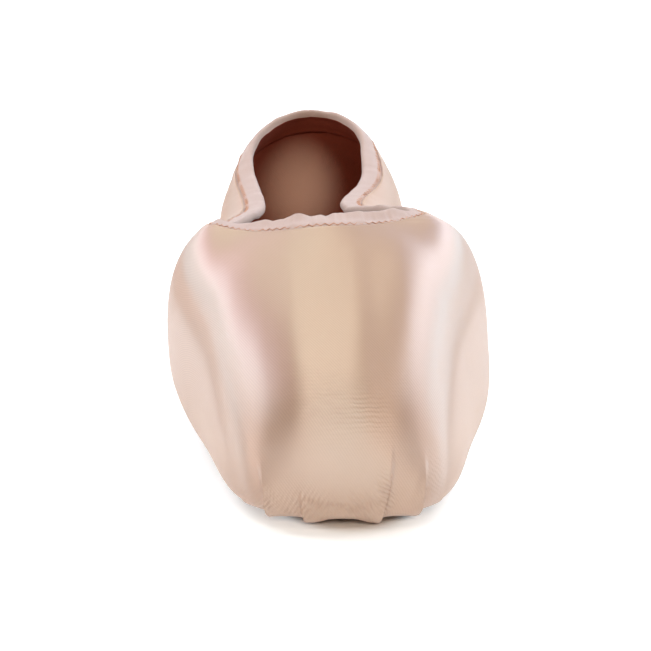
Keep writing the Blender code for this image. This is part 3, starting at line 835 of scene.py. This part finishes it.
def satin_material():
    """Heavy pink satin: a fine twill, floats that shine along one direction, and grain round the toe."""
    material, tree, shader = new_material(
        "pink_satin", Metallic=0.0, IOR=2.25, Specular_IOR_Level=1.0, Specular_Tint=(1.0, 0.98, 0.97, 1.0),
        Anisotropic=0.95, Anisotropic_Rotation=0.25, **SATIN_SHEEN,
    )
    tangent = node(tree, "ShaderNodeTangent", {"direction_type": "UV_MAP", "uv_map": "weave"})
    tree.links.new(tangent.outputs[0], shader.inputs["Tangent"])
    uv, across, up = weave_axes(tree)
    place = object_axes(tree)
    twill = ripple(tree, across, up, TWILL_PITCH, TWILL_LEAN)
    weft = ripple(tree, up, across, WEFT_PITCH, 0.0)
    grain = noise(tree, stretched(tree, uv, (0.18, 1.6)), 1.0, 4.0, 0.6)
    slow = noise(tree, uv, 0.045, 3.0)
    slubs = noise(tree, uv, 0.6, 2.0)

    height = maths(tree, "MULTIPLY_ADD", weft, 0.25, maths(tree, "MULTIPLY", twill, 0.5))
    height = maths(tree, "MULTIPLY_ADD", grain, 1.4, height)
    woven = bump(tree, height, 0.42, TWILL_DEPTH)
    draped = bump(tree, slow, 0.3, DRAPE_DEPTH, Normal=woven)
    crinkled = crinkle_height(tree, place, up, noise(tree, uv, 0.30, 2.0))
    creased = bump(tree, crinkled, 1.0, CRINKLE_DEPTH, Normal=draped)
    tree.links.new(creased, shader.inputs["Normal"])

    low = ramp(tree, place[2], *WORN_HEIGHTS)
    colour = blend(tree, slow, srgb(188, 154, 129), srgb(180, 145, 119))
    shade = ramp(tree, twill, -1.0, 1.0, 0.34, 0.0, soft=False)
    shown = maths(tree, "MULTIPLY", shade, ramp(tree, place[2], *FADED_HEIGHTS, low=0.30))
    colour = blend(tree, shown, colour, srgb(190, 150, 130), "MULTIPLY")
    dirt = maths(tree, "MULTIPLY", low, maths(tree, "MULTIPLY", slubs, 0.35))
    colour = blend(tree, dirt, colour, srgb(214, 176, 140), "MULTIPLY")
    tree.links.new(colour, shader.inputs["Base Color"])

    rough = ramp(tree, maths(tree, "MULTIPLY", grain, 0.12), 0.0, 1.0, 0.40, 1.0, soft=False)
    rough = maths(tree, "MULTIPLY_ADD", low, 0.16, rough)
    rough = maths(tree, "ADD", rough, ramp(tree, place[1], *SLACK_PLACES, high=0.30))
    tree.links.new(rough, shader.inputs["Roughness"])
    return material


def cloth_material(name, light, dark, pitch, depth, roughness, sheen, gather=0.0):
    """A plain woven cloth from two colours, its thread pitch in mm and the depth of its weave in mm."""
    material, tree, shader = new_material(name, Sheen_Weight=sheen, Sheen_Roughness=0.5)
    uv, across, up = weave_axes(tree)
    warp = ripple(tree, across, up, pitch, 0.0)
    weft = ripple(tree, up, across, pitch * 1.1, 0.0)
    check = maths(tree, "MULTIPLY", warp, weft)
    fuzz = noise(tree, uv, 2.2, 3.0, 0.7)
    height = maths(tree, "MULTIPLY_ADD", fuzz, 1.2, maths(tree, "MULTIPLY", check, 0.5))
    if gather:
        creases = noise(tree, stretched(tree, uv, (1.1, 0.12)), 1.0, 3.0)
        height = maths(tree, "MULTIPLY_ADD", creases, gather, height)
    tree.links.new(bump(tree, height, 0.8, depth * MM), shader.inputs["Normal"])
    colour = blend(tree, noise(tree, uv, 0.22, 4.0, 0.6), light, dark)
    shade = ramp(tree, check, -1.0, 1.0, 0.22, 0.0, soft=False)
    tree.links.new(blend(tree, shade, colour, dark, "MULTIPLY"), shader.inputs["Base Color"])
    rough = ramp(tree, fuzz, 0.0, 1.0, roughness - 0.1, min(roughness + 0.1, 1.0), soft=False)
    tree.links.new(rough, shader.inputs["Roughness"])
    return material


# Painted light: where the lining of the heel is painted paler, as if lit through the opening: the middle
# across and up, and how far the patch reaches

PAINTED_LIGHT_MIDDLE = (-0.005, 0.031)
PAINTED_LIGHT_REACH = (0.0155, 0.0185)


def painted_lining_material():
    """The cloth inside: deep red brown, darkened as painted shade, with a painted pool of light in a soft
    patch low on the inside of the heel.
    """
    # Painted shade: the lining's two colours are darker and redder than the peach cloth, standing in for the
    # shade inside the empty shoe.
    material = cloth_material("lining_cloth_painted_shade_and_light", srgb(157, 78, 54), srgb(137, 58, 38), 0.8, 0.06, 0.9, 0.0)
    tree = material.node_tree
    colour = tree.nodes["Principled BSDF"].inputs["Base Color"]
    place = object_axes(tree)
    far = distance_squared(tree, place[0], place[2], PAINTED_LIGHT_MIDDLE, PAINTED_LIGHT_REACH)
    # Painted light: the soft pale patch stands in for light falling through the opening onto the heel's
    # inside.
    pale = blend(tree, ramp(tree, far, 1.1, -0.3), colour.links[0].from_socket, srgb(250, 210, 192))
    tree.links.new(pale, colour)
    return material


def leather_material():
    """Sueded sole leather: grain, fine pores, colour drift and scuffs on its underside."""
    material, tree, shader = new_material("sole_leather")
    uv = weave_axes(tree)[0]
    pores = node(tree, "ShaderNodeTexVoronoi", {"feature": "DISTANCE_TO_EDGE"}, i0=uv, Scale=1.4).outputs[0]
    scratches = noise(tree, stretched(tree, uv, (0.9, 0.05), 0.5), 1.0, 5.0)
    height = maths(tree, "MULTIPLY_ADD", noise(tree, uv, 3.0, 3.0, 0.7), 0.6, pores)
    height = maths(tree, "MULTIPLY_ADD", scratches, 0.8, height)
    tree.links.new(bump(tree, height, 0.6, 0.00008), shader.inputs["Normal"])
    colour = blend(tree, noise(tree, uv, 0.06, 4.0, 0.6), srgb(205, 166, 128), srgb(168, 126, 90))
    tree.links.new(colour, shader.inputs["Base Color"])
    tree.links.new(ramp(tree, scratches, 0.0, 1.0, 0.5, 0.8, soft=False), shader.inputs["Roughness"])
    return material


# The satin: a thin closed skin from the lasting margin to the casing

def make_satin(material, back_material):
    """The satin's face with its folds, its back, and the margin turned in under the insole."""
    skin = fine_skin(SATIN_CUTS)
    top_edge = skin.travelled[:, -1] - casing_width(skin.place)
    outer, weave = skin_of_satin(skin, top_edge)
    margin = sole_ring(skin.guides, MARGIN_WIDTH)
    margin_edge = np.column_stack([margin, seam_height(margin[:, 1])])
    margin_weave = cloth_place(margin_edge)
    shares = np.linspace(1.0, 0.0, SATIN_BACK_ROWS) ** ROW_POWER
    back, back_normals, wanted, to_edge = rows_of(skin, top_edge, shares)
    back = follow_hollows(back, back_normals, skin.guides.from_toe, to_edge) - back_normals * SATIN_THICKNESS
    back[:, 0] -= back_normals[:, 0] * BACK_TUCK
    back[:, -1, 2] = seam_height(back[:, -1, 1]) + SATIN_THICKNESS
    back_margin = margin_edge + np.array([0.0, 0.0, SATIN_THICKNESS])
    back_weave = np.stack([skin.guides.from_toe[:, None] * np.ones(wanted.shape), wanted], axis=-1)
    points = np.concatenate([margin_edge[:, None], outer, back, back_margin[:, None]], axis=1)
    uv = np.concatenate([margin_weave[:, None], weave, back_weave, margin_weave[:, None]], axis=1)
    return new_piece(
        "satin_upper", points, uv, materials=(material, back_material), back_from=SATIN_ROWS + 1, wraps=False
    )


def make_lining(material):
    """The lining inside the satin: from the lasting margin up to under the casing."""
    skin = fine_skin(LINING_CUTS)
    from_toe = skin.guides.from_toe
    top_edge = skin.travelled[:, -1] - casing_width(skin.place) - LINING_GAP
    below_satin = SATIN_THICKNESS + LINING_GAP
    shares = np.linspace(1.0, 0.0, LINING_ROWS) ** LINING_POWER
    inner, normals, inner_up, to_edge = rows_of(skin, top_edge, shares)
    slack = waves(inner[..., 1] / MM, LINING_WAVES) * smooth_ramp(inner_up / MM, *LINING_SLACK)
    inner = follow_hollows(inner, normals, from_toe, to_edge)
    depth = wall_thickness(inner[..., 1]) - LINING_RISE - MM * slack
    inner = inner - normals * depth[..., None]
    floor = seam_height(inner[..., 1]) + QUARTER_WALL
    inner[..., 2] = soft_max(inner[..., 2], floor, 0.0004)
    shares = np.linspace(0.0, 1.0, LINING_BACK_ROWS) ** LINING_POWER
    outer, normals, outer_up, to_edge = rows_of(skin, top_edge, shares)
    outer = follow_hollows(outer, normals, from_toe, to_edge) - normals * below_satin
    outer[:, 0, 2] = seam_height(outer[:, 0, 1]) + below_satin
    margin = sole_ring(skin.guides, MARGIN_WIDTH)
    low = seam_height(margin[:, 1])
    margin_top = np.column_stack([margin, low + QUARTER_WALL - LINING_RISE])
    margin_low = np.column_stack([margin, low + below_satin])
    points = np.concatenate([inner, margin_top[:, None], margin_low[:, None], outer], axis=1)[:, ::-1]
    lengths = np.concatenate([inner_up, np.full((len(margin), 2), -MARGIN_WIDTH), outer_up], axis=1)[:, ::-1]
    uv = np.stack([from_toe[:, None] * np.ones(lengths.shape), lengths], axis=-1)
    return new_piece("lining", points, uv, materials=(material,))


# The casing at the topline. The rim is where its gathered edge stands above or below the last at the throat:
# place along the topline from the throat's centre (positive to the right) and rise, both in mm.

Rim = namedtuple("Rim", "place rise")
RIM = [
    Rim(-26.0, 0.0), Rim(-20.0, 0.6), Rim(-15.9, 0.8), Rim(-14.4, 1.25), Rim(-12.9, 0.7), Rim(-9.2, 0.6),
    Rim(-7.0, 0.9), Rim(-5.2, 1.15), Rim(-3.6, 0.45), Rim(-1.8, -0.3), Rim(0.0, 0.0), Rim(1.5, -0.5),
    Rim(3.3, 0.45), Rim(6.4, 0.8), Rim(10.5, 1.2), Rim(14.0, 1.6), Rim(17.4, 1.8), Rim(20.9, 2.1),
    Rim(25.3, 0.8), Rim(31.0, 0.0),
]
RIM_SMOOTHING = (-0.6, -0.3, 0.0, 0.3, 0.6)
RIM_FADE = 5.5
CASING_RECESS = 0.0001
TUCK_DEPTH = 0.0003
CASING_PLY = 0.0009
CASING_THINNED = 0.0008
ROLL_STARTS = 0.0018
ROLL_ENDS = 0.0022
CASING_LAP_ROWS = 5
CASING_FACE_ROWS = 14
CASING_ROLL_ROWS = 11
CASING_BACK_ROWS = 10
CASING_LAP = 0.0045


def rim_rise(place):
    """The rim's table read along the topline, slightly smoothed."""
    places = [rim.place for rim in RIM]
    rises = [rim.rise for rim in RIM]
    read = [np.interp(place + shift, places, rises, left=0.0, right=0.0) for shift in RIM_SMOOTHING]
    return sum(read) / len(RIM_SMOOTHING)


def rim_fade(down):
    """1 at the topline, falling to 0 near the casing's lower edge."""
    return 1 - smooth_ramp(down / MM, 0.0, RIM_FADE)


def tuck_share(share):
    """1 at the casing's lower edge, where it is stitched down, falling to 0 a little way up its face."""
    return 1 - smooth_ramp(share, 0.0, 0.3)


def casing_gathers(place, down):
    """Gathers across the casing in mm: crisp at the throat, where the cord draws it in, and faint behind."""
    front = np.exp(-(place / 30.0) ** 2)
    fine = waves(place, FINE_CASING_WAVES) * front * (0.4 + 0.6 * smooth_ramp(down, 0.0, 3.0))
    return fine + waves(place, BROAD_CASING_WAVES) * (0.5 + 0.7 * front)


def make_casing(material, inner_painted_shade_material):
    """The cotton casing: a folded strip from behind the satin's edge over the topline and down inside, its
    inner ply in the lining's darker material as painted shade.
    """
    skin = fine_skin(CASING_CUTS)
    place = skin.place
    length = skin.travelled[:, -1]
    width = casing_width(place)
    level = np.zeros(len(place))
    wall = wall_thickness(skin.points[:, -1, 1])
    inner = wall + GAP + CASING_PLY
    radius = (inner - CASING_RECESS) / 2
    rise = MM * (rim_rise(place) + waves(place, RIM_WAVES))
    lap = np.linspace(1.0, 0.0, CASING_LAP_ROWS)
    section = [(width + share * CASING_LAP, wall + GAP, 0.0) for share in lap]
    section.append((width + 0.0004, level + 0.0007, 0.0))
    for share in np.linspace(0.0, 1.0, CASING_FACE_ROWS):
        tucked = tuck_share(share)
        depth = level + CASING_RECESS + TUCK_DEPTH * tucked
        section.append((width + share * (ROLL_STARTS - width), depth, 1 - 0.7 * tucked))
    for angle in np.linspace(0.0, math.pi, CASING_ROLL_ROWS):
        depth = CASING_RECESS + radius * (1 - math.cos(angle))
        section.append((radius * (1 - math.sin(angle)), depth, math.cos(angle)))
    lap_end = BINDING_WIDTH + CASING_LAP
    for down in np.linspace(ROLL_ENDS, lap_end, CASING_BACK_ROWS):
        thinned = CASING_THINNED * smooth_ramp(down, BINDING_WIDTH - 0.001, lap_end)
        section.append((level + down, inner - thinned, -1.0))
    rails, uv = [], []
    around = 0.0
    for down, depth, facing in section:
        point, normal = read_skin(skin, (length - down)[:, None])
        point, normal = point[:, 0], normal[:, 0]
        swell = MM * casing_gathers(place, down / MM) * facing
        moved = point + normal * (swell - depth)[:, None]
        moved[:, 2] += rise * rim_fade(down)
        if rails:
            around += float(np.linalg.norm(moved - rails[-1], axis=1).mean())
        rails.append(moved)
        uv.append(np.column_stack([place * MM, level + around]))
    # Painted shade: the casing's inner ply takes the lining's darkened material in place of its own cotton
    # colour.
    inside_from = len(section) - CASING_BACK_ROWS - 3
    points, uv = np.stack(rails, axis=1), np.stack(uv, axis=1)
    return new_piece("casing", points, uv, materials=(material, inner_painted_shade_material), back_from=inside_from)


# The thread that holds the casing to the satin: a zigzag just above the satin's edge

ZIGZAG_PITCH = 1.9
ZIGZAG_LOW = 0.0004
ZIGZAG_HIGH = 0.0016
THREAD_RADIUS = 0.00013
THREAD_SIDES = 5
STITCH_STEPS = 4


def tube(points, radius, sides):
    """Rings of a closed tube round a path: points by step, then by side."""
    ahead = unit(np.roll(points, -1, axis=0) - np.roll(points, 1, axis=0))
    side = unit(np.cross(ahead, np.array([0.0, 0.0, 1.0])))
    up = np.cross(side, ahead)
    turns = (2 * math.pi * np.arange(sides) / sides)[None, :, None]
    return points[:, None] + radius * (side[:, None] * np.cos(turns) + up[:, None] * np.sin(turns))


def make_zigzag(material):
    """One closed thread in a zigzag all the way round the casing's lower edge."""
    skin = fine_skin(CASING_CUTS)
    order = np.argsort(skin.place)
    first, last = skin.place.min(), skin.place.max()
    count = int(round((last - first) / ZIGZAG_PITCH)) * 2 * STITCH_STEPS
    wanted_place = np.linspace(first, last, count, endpoint=False)
    rows = np.interp(wanted_place, skin.place[order], np.arange(len(order)))
    swing = np.abs((np.arange(count) / (2 * STITCH_STEPS)) % 1.0 * 2 - 1)
    width = casing_width(wanted_place)
    down = width - ZIGZAG_LOW - (ZIGZAG_HIGH - ZIGZAG_LOW) * swing
    sunk = CASING_RECESS + TUCK_DEPTH * tuck_share(1 - down / width) - THREAD_RADIUS * 0.6
    lift = MM * rim_rise(wanted_place) * rim_fade(down)
    columns = np.concatenate([skin.points, skin.normals], axis=2)
    path = np.empty((count, 3))
    for i, row in enumerate(rows):
        low = int(row)
        found = []
        for k in (order[low], order[min(low + 1, len(order) - 1)]):
            length = skin.travelled[k, -1] - down[i]
            read = np.array([np.interp(length, skin.travelled[k], column) for column in columns[k].T])
            found.append(read[:3] - read[3:] * sunk[i])
        path[i] = found[0] + (found[1] - found[0]) * (row - low)
    path[:, 2] += lift
    rings = tube(path, THREAD_RADIUS, THREAD_SIDES)
    uv = np.stack([
        np.repeat(wanted_place[:, None] * MM, THREAD_SIDES, axis=1),
        np.tile(np.arange(THREAD_SIDES) * MM * 0.2, (len(path), 1)),
    ], axis=-1)
    piece = new_piece("casing_thread", rings, uv, materials=(material,))
    weld(piece)
    return piece


# Flat pieces: the insole inside and the outsole under the shoe

WELD_DISTANCE = 1e-6


def make_plate(name, guides, profile, material):
    """A sole from its outline: rows of inset, share and height, from one middle to the edge and back."""
    rows, uv = [], []
    for inset, share, height in profile:
        ring = sole_ring(guides, inset)
        middle = spoke_centres(guides)
        flat = ring + (middle - ring) * share
        rows.append(np.column_stack([flat, sole_lift(flat[:, 1]) + height]))
        uv.append(flat)
    points, uv = np.stack(rows, axis=1), np.stack(uv, axis=1)
    return new_piece(name, points, uv, closed_rows=False, materials=(material,), wraps=False)


def weld(piece):
    """Joins the points that meet on the middle line and turns the faces outwards."""
    mesh = piece.data
    bm = bmesh.new()
    bm.from_mesh(mesh)
    bmesh.ops.remove_doubles(bm, verts=bm.verts, dist=WELD_DISTANCE)
    bmesh.ops.recalc_face_normals(bm, faces=bm.faces)
    bm.to_mesh(mesh)
    bm.free()
    mesh.shade_smooth()


SATIN = satin_material()
# The lining's material carries painted shade and a painted pool of light. It also covers the satin's back and
# the casing's inner ply.
LINING_PAINTED_SHADE_AND_LIGHT = painted_lining_material()
CASING = cloth_material(
    "cotton_casing", srgb(200, 180, 172), srgb(188, 163, 152), 0.45, 0.05, 0.85, 0.20, 1.5
)
INSOLE = cloth_material("insole_cloth", srgb(214, 190, 164), srgb(190, 160, 132), 0.9, 0.06, 0.85, 0.1)
LEATHER = leather_material()
THREAD = cloth_material("stitching_thread", srgb(214, 168, 140), srgb(188, 138, 110), 0.3, 0.02, 0.6, 0.1)

satin = make_satin(SATIN, LINING_PAINTED_SHADE_AND_LIGHT)
lining = make_lining(LINING_PAINTED_SHADE_AND_LIGHT)
casing = make_casing(CASING, LINING_PAINTED_SHADE_AND_LIGHT)
thread = make_zigzag(THREAD)

# Rows of the insole from the middle underneath, out to the edge and back to the middle on top

plate_guides = rib_guides(PLATE_CUTS)
INSOLE_LOW = SOLE_THICKNESS + GAP + QUARTER_WALL + GAP
INSOLE_TOP = INSOLE_LOW + INSOLE_THICKNESS
insole_profile = [
    (INSOLE_INSET + 0.0005, 1.0, INSOLE_LOW),
    (INSOLE_INSET + 0.0005, 0.5, INSOLE_LOW),
    (INSOLE_INSET + 0.0003, 0.0, INSOLE_LOW),
    (INSOLE_INSET, 0.0, INSOLE_LOW + 0.0003),
    (INSOLE_INSET, 0.0, INSOLE_TOP - 0.0005),
    (INSOLE_INSET + 0.0002, 0.0, INSOLE_TOP - 0.0001),
]
insole_profile += [(INSOLE_INSET + 0.0006, share, INSOLE_TOP) for share in (0.0, 0.1, 0.25, 0.5, 0.75, 1.0)]
insole = make_plate("insole_pad", plate_guides, insole_profile, INSOLE)
weld(insole)

outsole_profile = [
    (0.0005, 1.0, 0.0),
    (0.0005, 0.7, 0.0),
    (0.0005, 0.4, 0.0),
    (0.0036, 0.0, 0.0),
    (0.0032, 0.0, 0.0005),
    (0.0026, 0.0, 0.0005),
    (0.0022, 0.0, 0.0),
    (0.0006, 0.0, 0.0),
    (0.0002, 0.0, 0.0002),
    (0.0, 0.0, 0.0006),
    (0.0, 0.0, SOLE_THICKNESS - 0.0006),
    (0.0002, 0.0, SOLE_THICKNESS - 0.0002),
    (0.0006, 0.0, SOLE_THICKNESS),
    (0.0006, 0.5, SOLE_THICKNESS),
    (0.0006, 1.0, SOLE_THICKNESS),
]
outsole = make_plate("outsole_leather", plate_guides, outsole_profile, LEATHER)
weld(outsole)


# The floor and backdrop: one pale sweep, level under the shoe and rising all round it. Its paleness fades
# with distance, so that the satin mirrors darker places far off. The floor's glow is left out in an oval
# under the front of the shoe, which paints a soft contact shadow there.

FLOOR_RADIUS = 3.0
SWEEP_RADIUS = 1.5
SWEEP_STEPS = 12
WALL_TOP = 4.5
STAGE_TURNS = 96
PALE_FLOOR_REACH = 0.9
PALE_FLOOR_GONE = 1.9
FLOOR_GREYS = ((0.35, 0.35, 0.35, 1.0), (0.93, 0.93, 0.93, 1.0))
FLOOR_GLOW = (0.28, 0.32, 0.34, 1.0)
NO_GLOW = (0.0, 0.0, 0.0, 1.0)
PAINTED_SHADOW_MIDDLE = (0.003, -0.060, 0.0)
PAINTED_SHADOW_REACH = (0.025, 0.060, 1.0)
PAINTED_SHADOW_EDGE = (0.93, 1.05)


def stage_material():
    """Matt white that fades with distance from the shoe, with a painted shadow under its toe where the glow
    is left out.
    """
    material, tree, shader = new_material("backdrop_white", Roughness=1.0, Specular_IOR_Level=0.0)
    place = node(tree, "ShaderNodeTexCoord").outputs["Object"]
    moved = node(
        tree, "ShaderNodeMapping", {"vector_type": "TEXTURE"}, i0=place,
        Location=PAINTED_SHADOW_MIDDLE, Scale=PAINTED_SHADOW_REACH,
    )
    far = node(tree, "ShaderNodeVectorMath", {"operation": "LENGTH"}, i0=place).outputs["Value"]
    beyond = node(tree, "ShaderNodeVectorMath", {"operation": "LENGTH"}, i0=moved.outputs[0]).outputs["Value"]
    near = ramp(tree, far, PALE_FLOOR_GONE, PALE_FLOOR_REACH)
    tree.links.new(blend(tree, near, *FLOOR_GREYS), shader.inputs["Base Color"])
    tree.links.new(blend(tree, near, NO_GLOW, FLOOR_GLOW), shader.inputs["Emission Color"])
    # Painted shadow: no glow inside the oval under the front of the shoe.
    tree.links.new(ramp(tree, beyond, *PAINTED_SHADOW_EDGE), shader.inputs["Emission Strength"])
    return material


def make_stage():
    """The sweep as rings round the middle of the floor."""
    profile = [(0.3, 0.0), (FLOOR_RADIUS, 0.0)]
    for step in range(1, SWEEP_STEPS + 1):
        angle = math.pi / 2 * step / SWEEP_STEPS
        profile.append((FLOOR_RADIUS + SWEEP_RADIUS * math.sin(angle), SWEEP_RADIUS * (1 - math.cos(angle))))
    profile.append((FLOOR_RADIUS + SWEEP_RADIUS, WALL_TOP))
    verts = [(0.0, 0.0, 0.0)]
    faces = []
    for radius, height in profile:
        for turn in range(STAGE_TURNS):
            angle = 2 * math.pi * turn / STAGE_TURNS
            verts.append((radius * math.cos(angle), radius * math.sin(angle), height))
    for turn in range(STAGE_TURNS):
        here = 1 + turn
        right = 1 + (turn + 1) % STAGE_TURNS
        faces.append((0, here, right))
        for start in range(0, (len(profile) - 1) * STAGE_TURNS, STAGE_TURNS):
            outer = start + STAGE_TURNS
            faces.append((start + here, outer + here, outer + right, start + right))
    mesh = bpy.data.meshes.new("backdrop")
    mesh.from_pydata(verts, [], faces)
    mesh.shade_smooth()
    mesh.materials.append(stage_material())
    stage = bpy.data.objects.new("backdrop", mesh)
    bpy.context.scene.collection.objects.link(stage)
    return stage


backdrop = make_stage()


# Camera at the photograph's angle

TARGET = Vector((-0.00164, -0.07326, 0.03647))
DISTANCE = 0.60
ELEVATION = math.radians(15.07)
YAW = math.radians(-1.70)
ROLL = math.radians(0.305)
FOCAL_PIXELS = 2458.3
FRAME_PIXELS = 651
SENSOR = 36.0
CLIP_START = 0.01
CLIP_END = 50.0


def make_camera():
    """The camera that looks at the target from the photograph's side and height."""
    back = Vector((
        math.sin(YAW) * math.cos(ELEVATION), -math.cos(YAW) * math.cos(ELEVATION), math.sin(ELEVATION)
    ))
    forward = -back
    right = forward.cross(Vector((0.0, 0.0, 1.0))).normalized()
    up = right.cross(forward)
    rolled_right = right * math.cos(ROLL) + up * math.sin(ROLL)
    rolled_up = up * math.cos(ROLL) - right * math.sin(ROLL)
    data = bpy.data.cameras.new("camera")
    data.sensor_width = SENSOR
    data.sensor_fit = "HORIZONTAL"
    data.lens = SENSOR * FOCAL_PIXELS / FRAME_PIXELS
    data.clip_start = CLIP_START
    data.clip_end = CLIP_END
    camera = bpy.data.objects.new("camera", data)
    turn = Matrix((rolled_right, rolled_up, back)).transposed().to_4x4()
    camera.matrix_world = Matrix.Translation(TARGET + back * DISTANCE) @ turn
    bpy.context.scene.collection.objects.link(camera)
    bpy.context.scene.camera = camera


make_camera()


# Studio lights, all aimed at one spot in the front half of the shoe: place and size in metres, watts before
# the common strength, and colour

Light = namedtuple("Light", "name place size watts colour")
BOX = (0.45, 0.45)
LOW_BOX = (0.60, 0.60)
FRONT_BOX = (0.40, 0.40)
SMALL_BOX = (0.35, 0.35)
STRIP = (0.17, 0.60)
LIGHT_AIM = (0.0, -0.05, 0.03)
LIGHT_STRENGTH = 0.89
LIGHTS = [
    Light("back_high", (0.58, 0.77, 1.14), BOX, 6.7, (0.87, 0.92, 1.00)),
    Light("left_mid", (-1.10, 0.64, 0.78), BOX, 6.3, (0.75, 0.91, 1.00)),
    Light("strip_top", (-0.19, -0.44, 1.48), STRIP, 4.4, (1.00, 0.83, 0.68)),
    Light("left_high", (-0.86, 0.45, 1.14), BOX, 7.6, (0.86, 0.96, 1.00)),
    Light("back_high_2", (-0.58, 0.77, 1.14), BOX, 4.9, (1.00, 0.75, 0.92)),
    Light("back_mid", (0.90, 0.88, 0.78), BOX, 5.5, (0.47, 0.82, 1.00)),
    Light("right_mid", (1.22, 0.39, 0.78), BOX, 4.2, (0.92, 0.94, 1.00)),
    Light("right_low", (1.32, 0.57, 0.39), BOX, 4.6, (0.71, 0.88, 1.00)),
    Light("left_low", (-1.29, -0.79, 0.24), LOW_BOX, 3.9, (1.00, 0.66, 0.54)),
    Light("left_low_2", (-1.32, 0.57, 0.39), BOX, 2.9, (1.00, 0.95, 0.95)),
    Light("right_high", (0.94, 0.27, 1.14), BOX, 4.6, (1.00, 0.90, 0.92)),
    Light("right_top", (0.62, 0.16, 1.36), SMALL_BOX, 1.5, (1.00, 0.94, 0.93)),
    Light("front_mid", (0.44, -1.27, 0.78), FRONT_BOX, 3.5, (1.00, 0.68, 0.47)),
    Light("front_mid_2", (0.11, -1.34, 0.78), FRONT_BOX, 2.7, (0.88, 1.00, 0.87)),
    Light("front_mid_3", (-0.23, -1.33, 0.78), FRONT_BOX, 2.7, (1.00, 0.87, 0.71)),
    Light("right_low_2", (1.29, -0.79, 0.24), LOW_BOX, 1.8, (1.00, 0.80, 0.72)),
    Light("strip_back", (0.00, 0.58, 1.39), STRIP, 1.1, (1.00, 0.85, 0.64)),
    Light("right_low_3", (1.48, -0.18, 0.24), LOW_BOX, 1.2, (1.00, 0.78, 0.70)),
    Light("strip_back_2", (-0.19, 0.58, 1.39), STRIP, 1.0, (0.57, 1.00, 0.81)),
    Light("back_mid_2", (0.40, 1.19, 0.78), BOX, 2.2, (0.26, 0.45, 1.00)),
]


def make_light(light):
    """A soft area light that the camera doesn't see."""
    data = bpy.data.lights.new(light.name, "AREA")
    data.shape = "RECTANGLE"
    data.size, data.size_y = light.size
    data.energy = light.watts * LIGHT_STRENGTH
    data.color = light.colour
    lamp = bpy.data.objects.new(light.name, data)
    direction = Vector(LIGHT_AIM) - Vector(light.place)
    lamp.rotation_euler = direction.to_track_quat("-Z", "Y").to_euler()
    lamp.location = light.place
    lamp.visible_camera = False
    bpy.context.scene.collection.objects.link(lamp)


for light in LIGHTS:
    make_light(light)

WORLD_COLOUR = (0.85, 0.82, 0.80, 1.0)
WORLD_STRENGTH = 0.01
world = bpy.data.worlds.new("studio")
world.use_nodes = True
world.node_tree.nodes["Background"].inputs[0].default_value = WORLD_COLOUR
world.node_tree.nodes["Background"].inputs[1].default_value = WORLD_STRENGTH
bpy.context.scene.world = world
bpy.context.scene.view_settings.view_transform = "Standard"

for piece in (satin, lining, casing, thread, insole, outsole):
    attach(piece, "root")
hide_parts("upper")
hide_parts("topline_binding")
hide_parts("insole")
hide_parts("outsole")
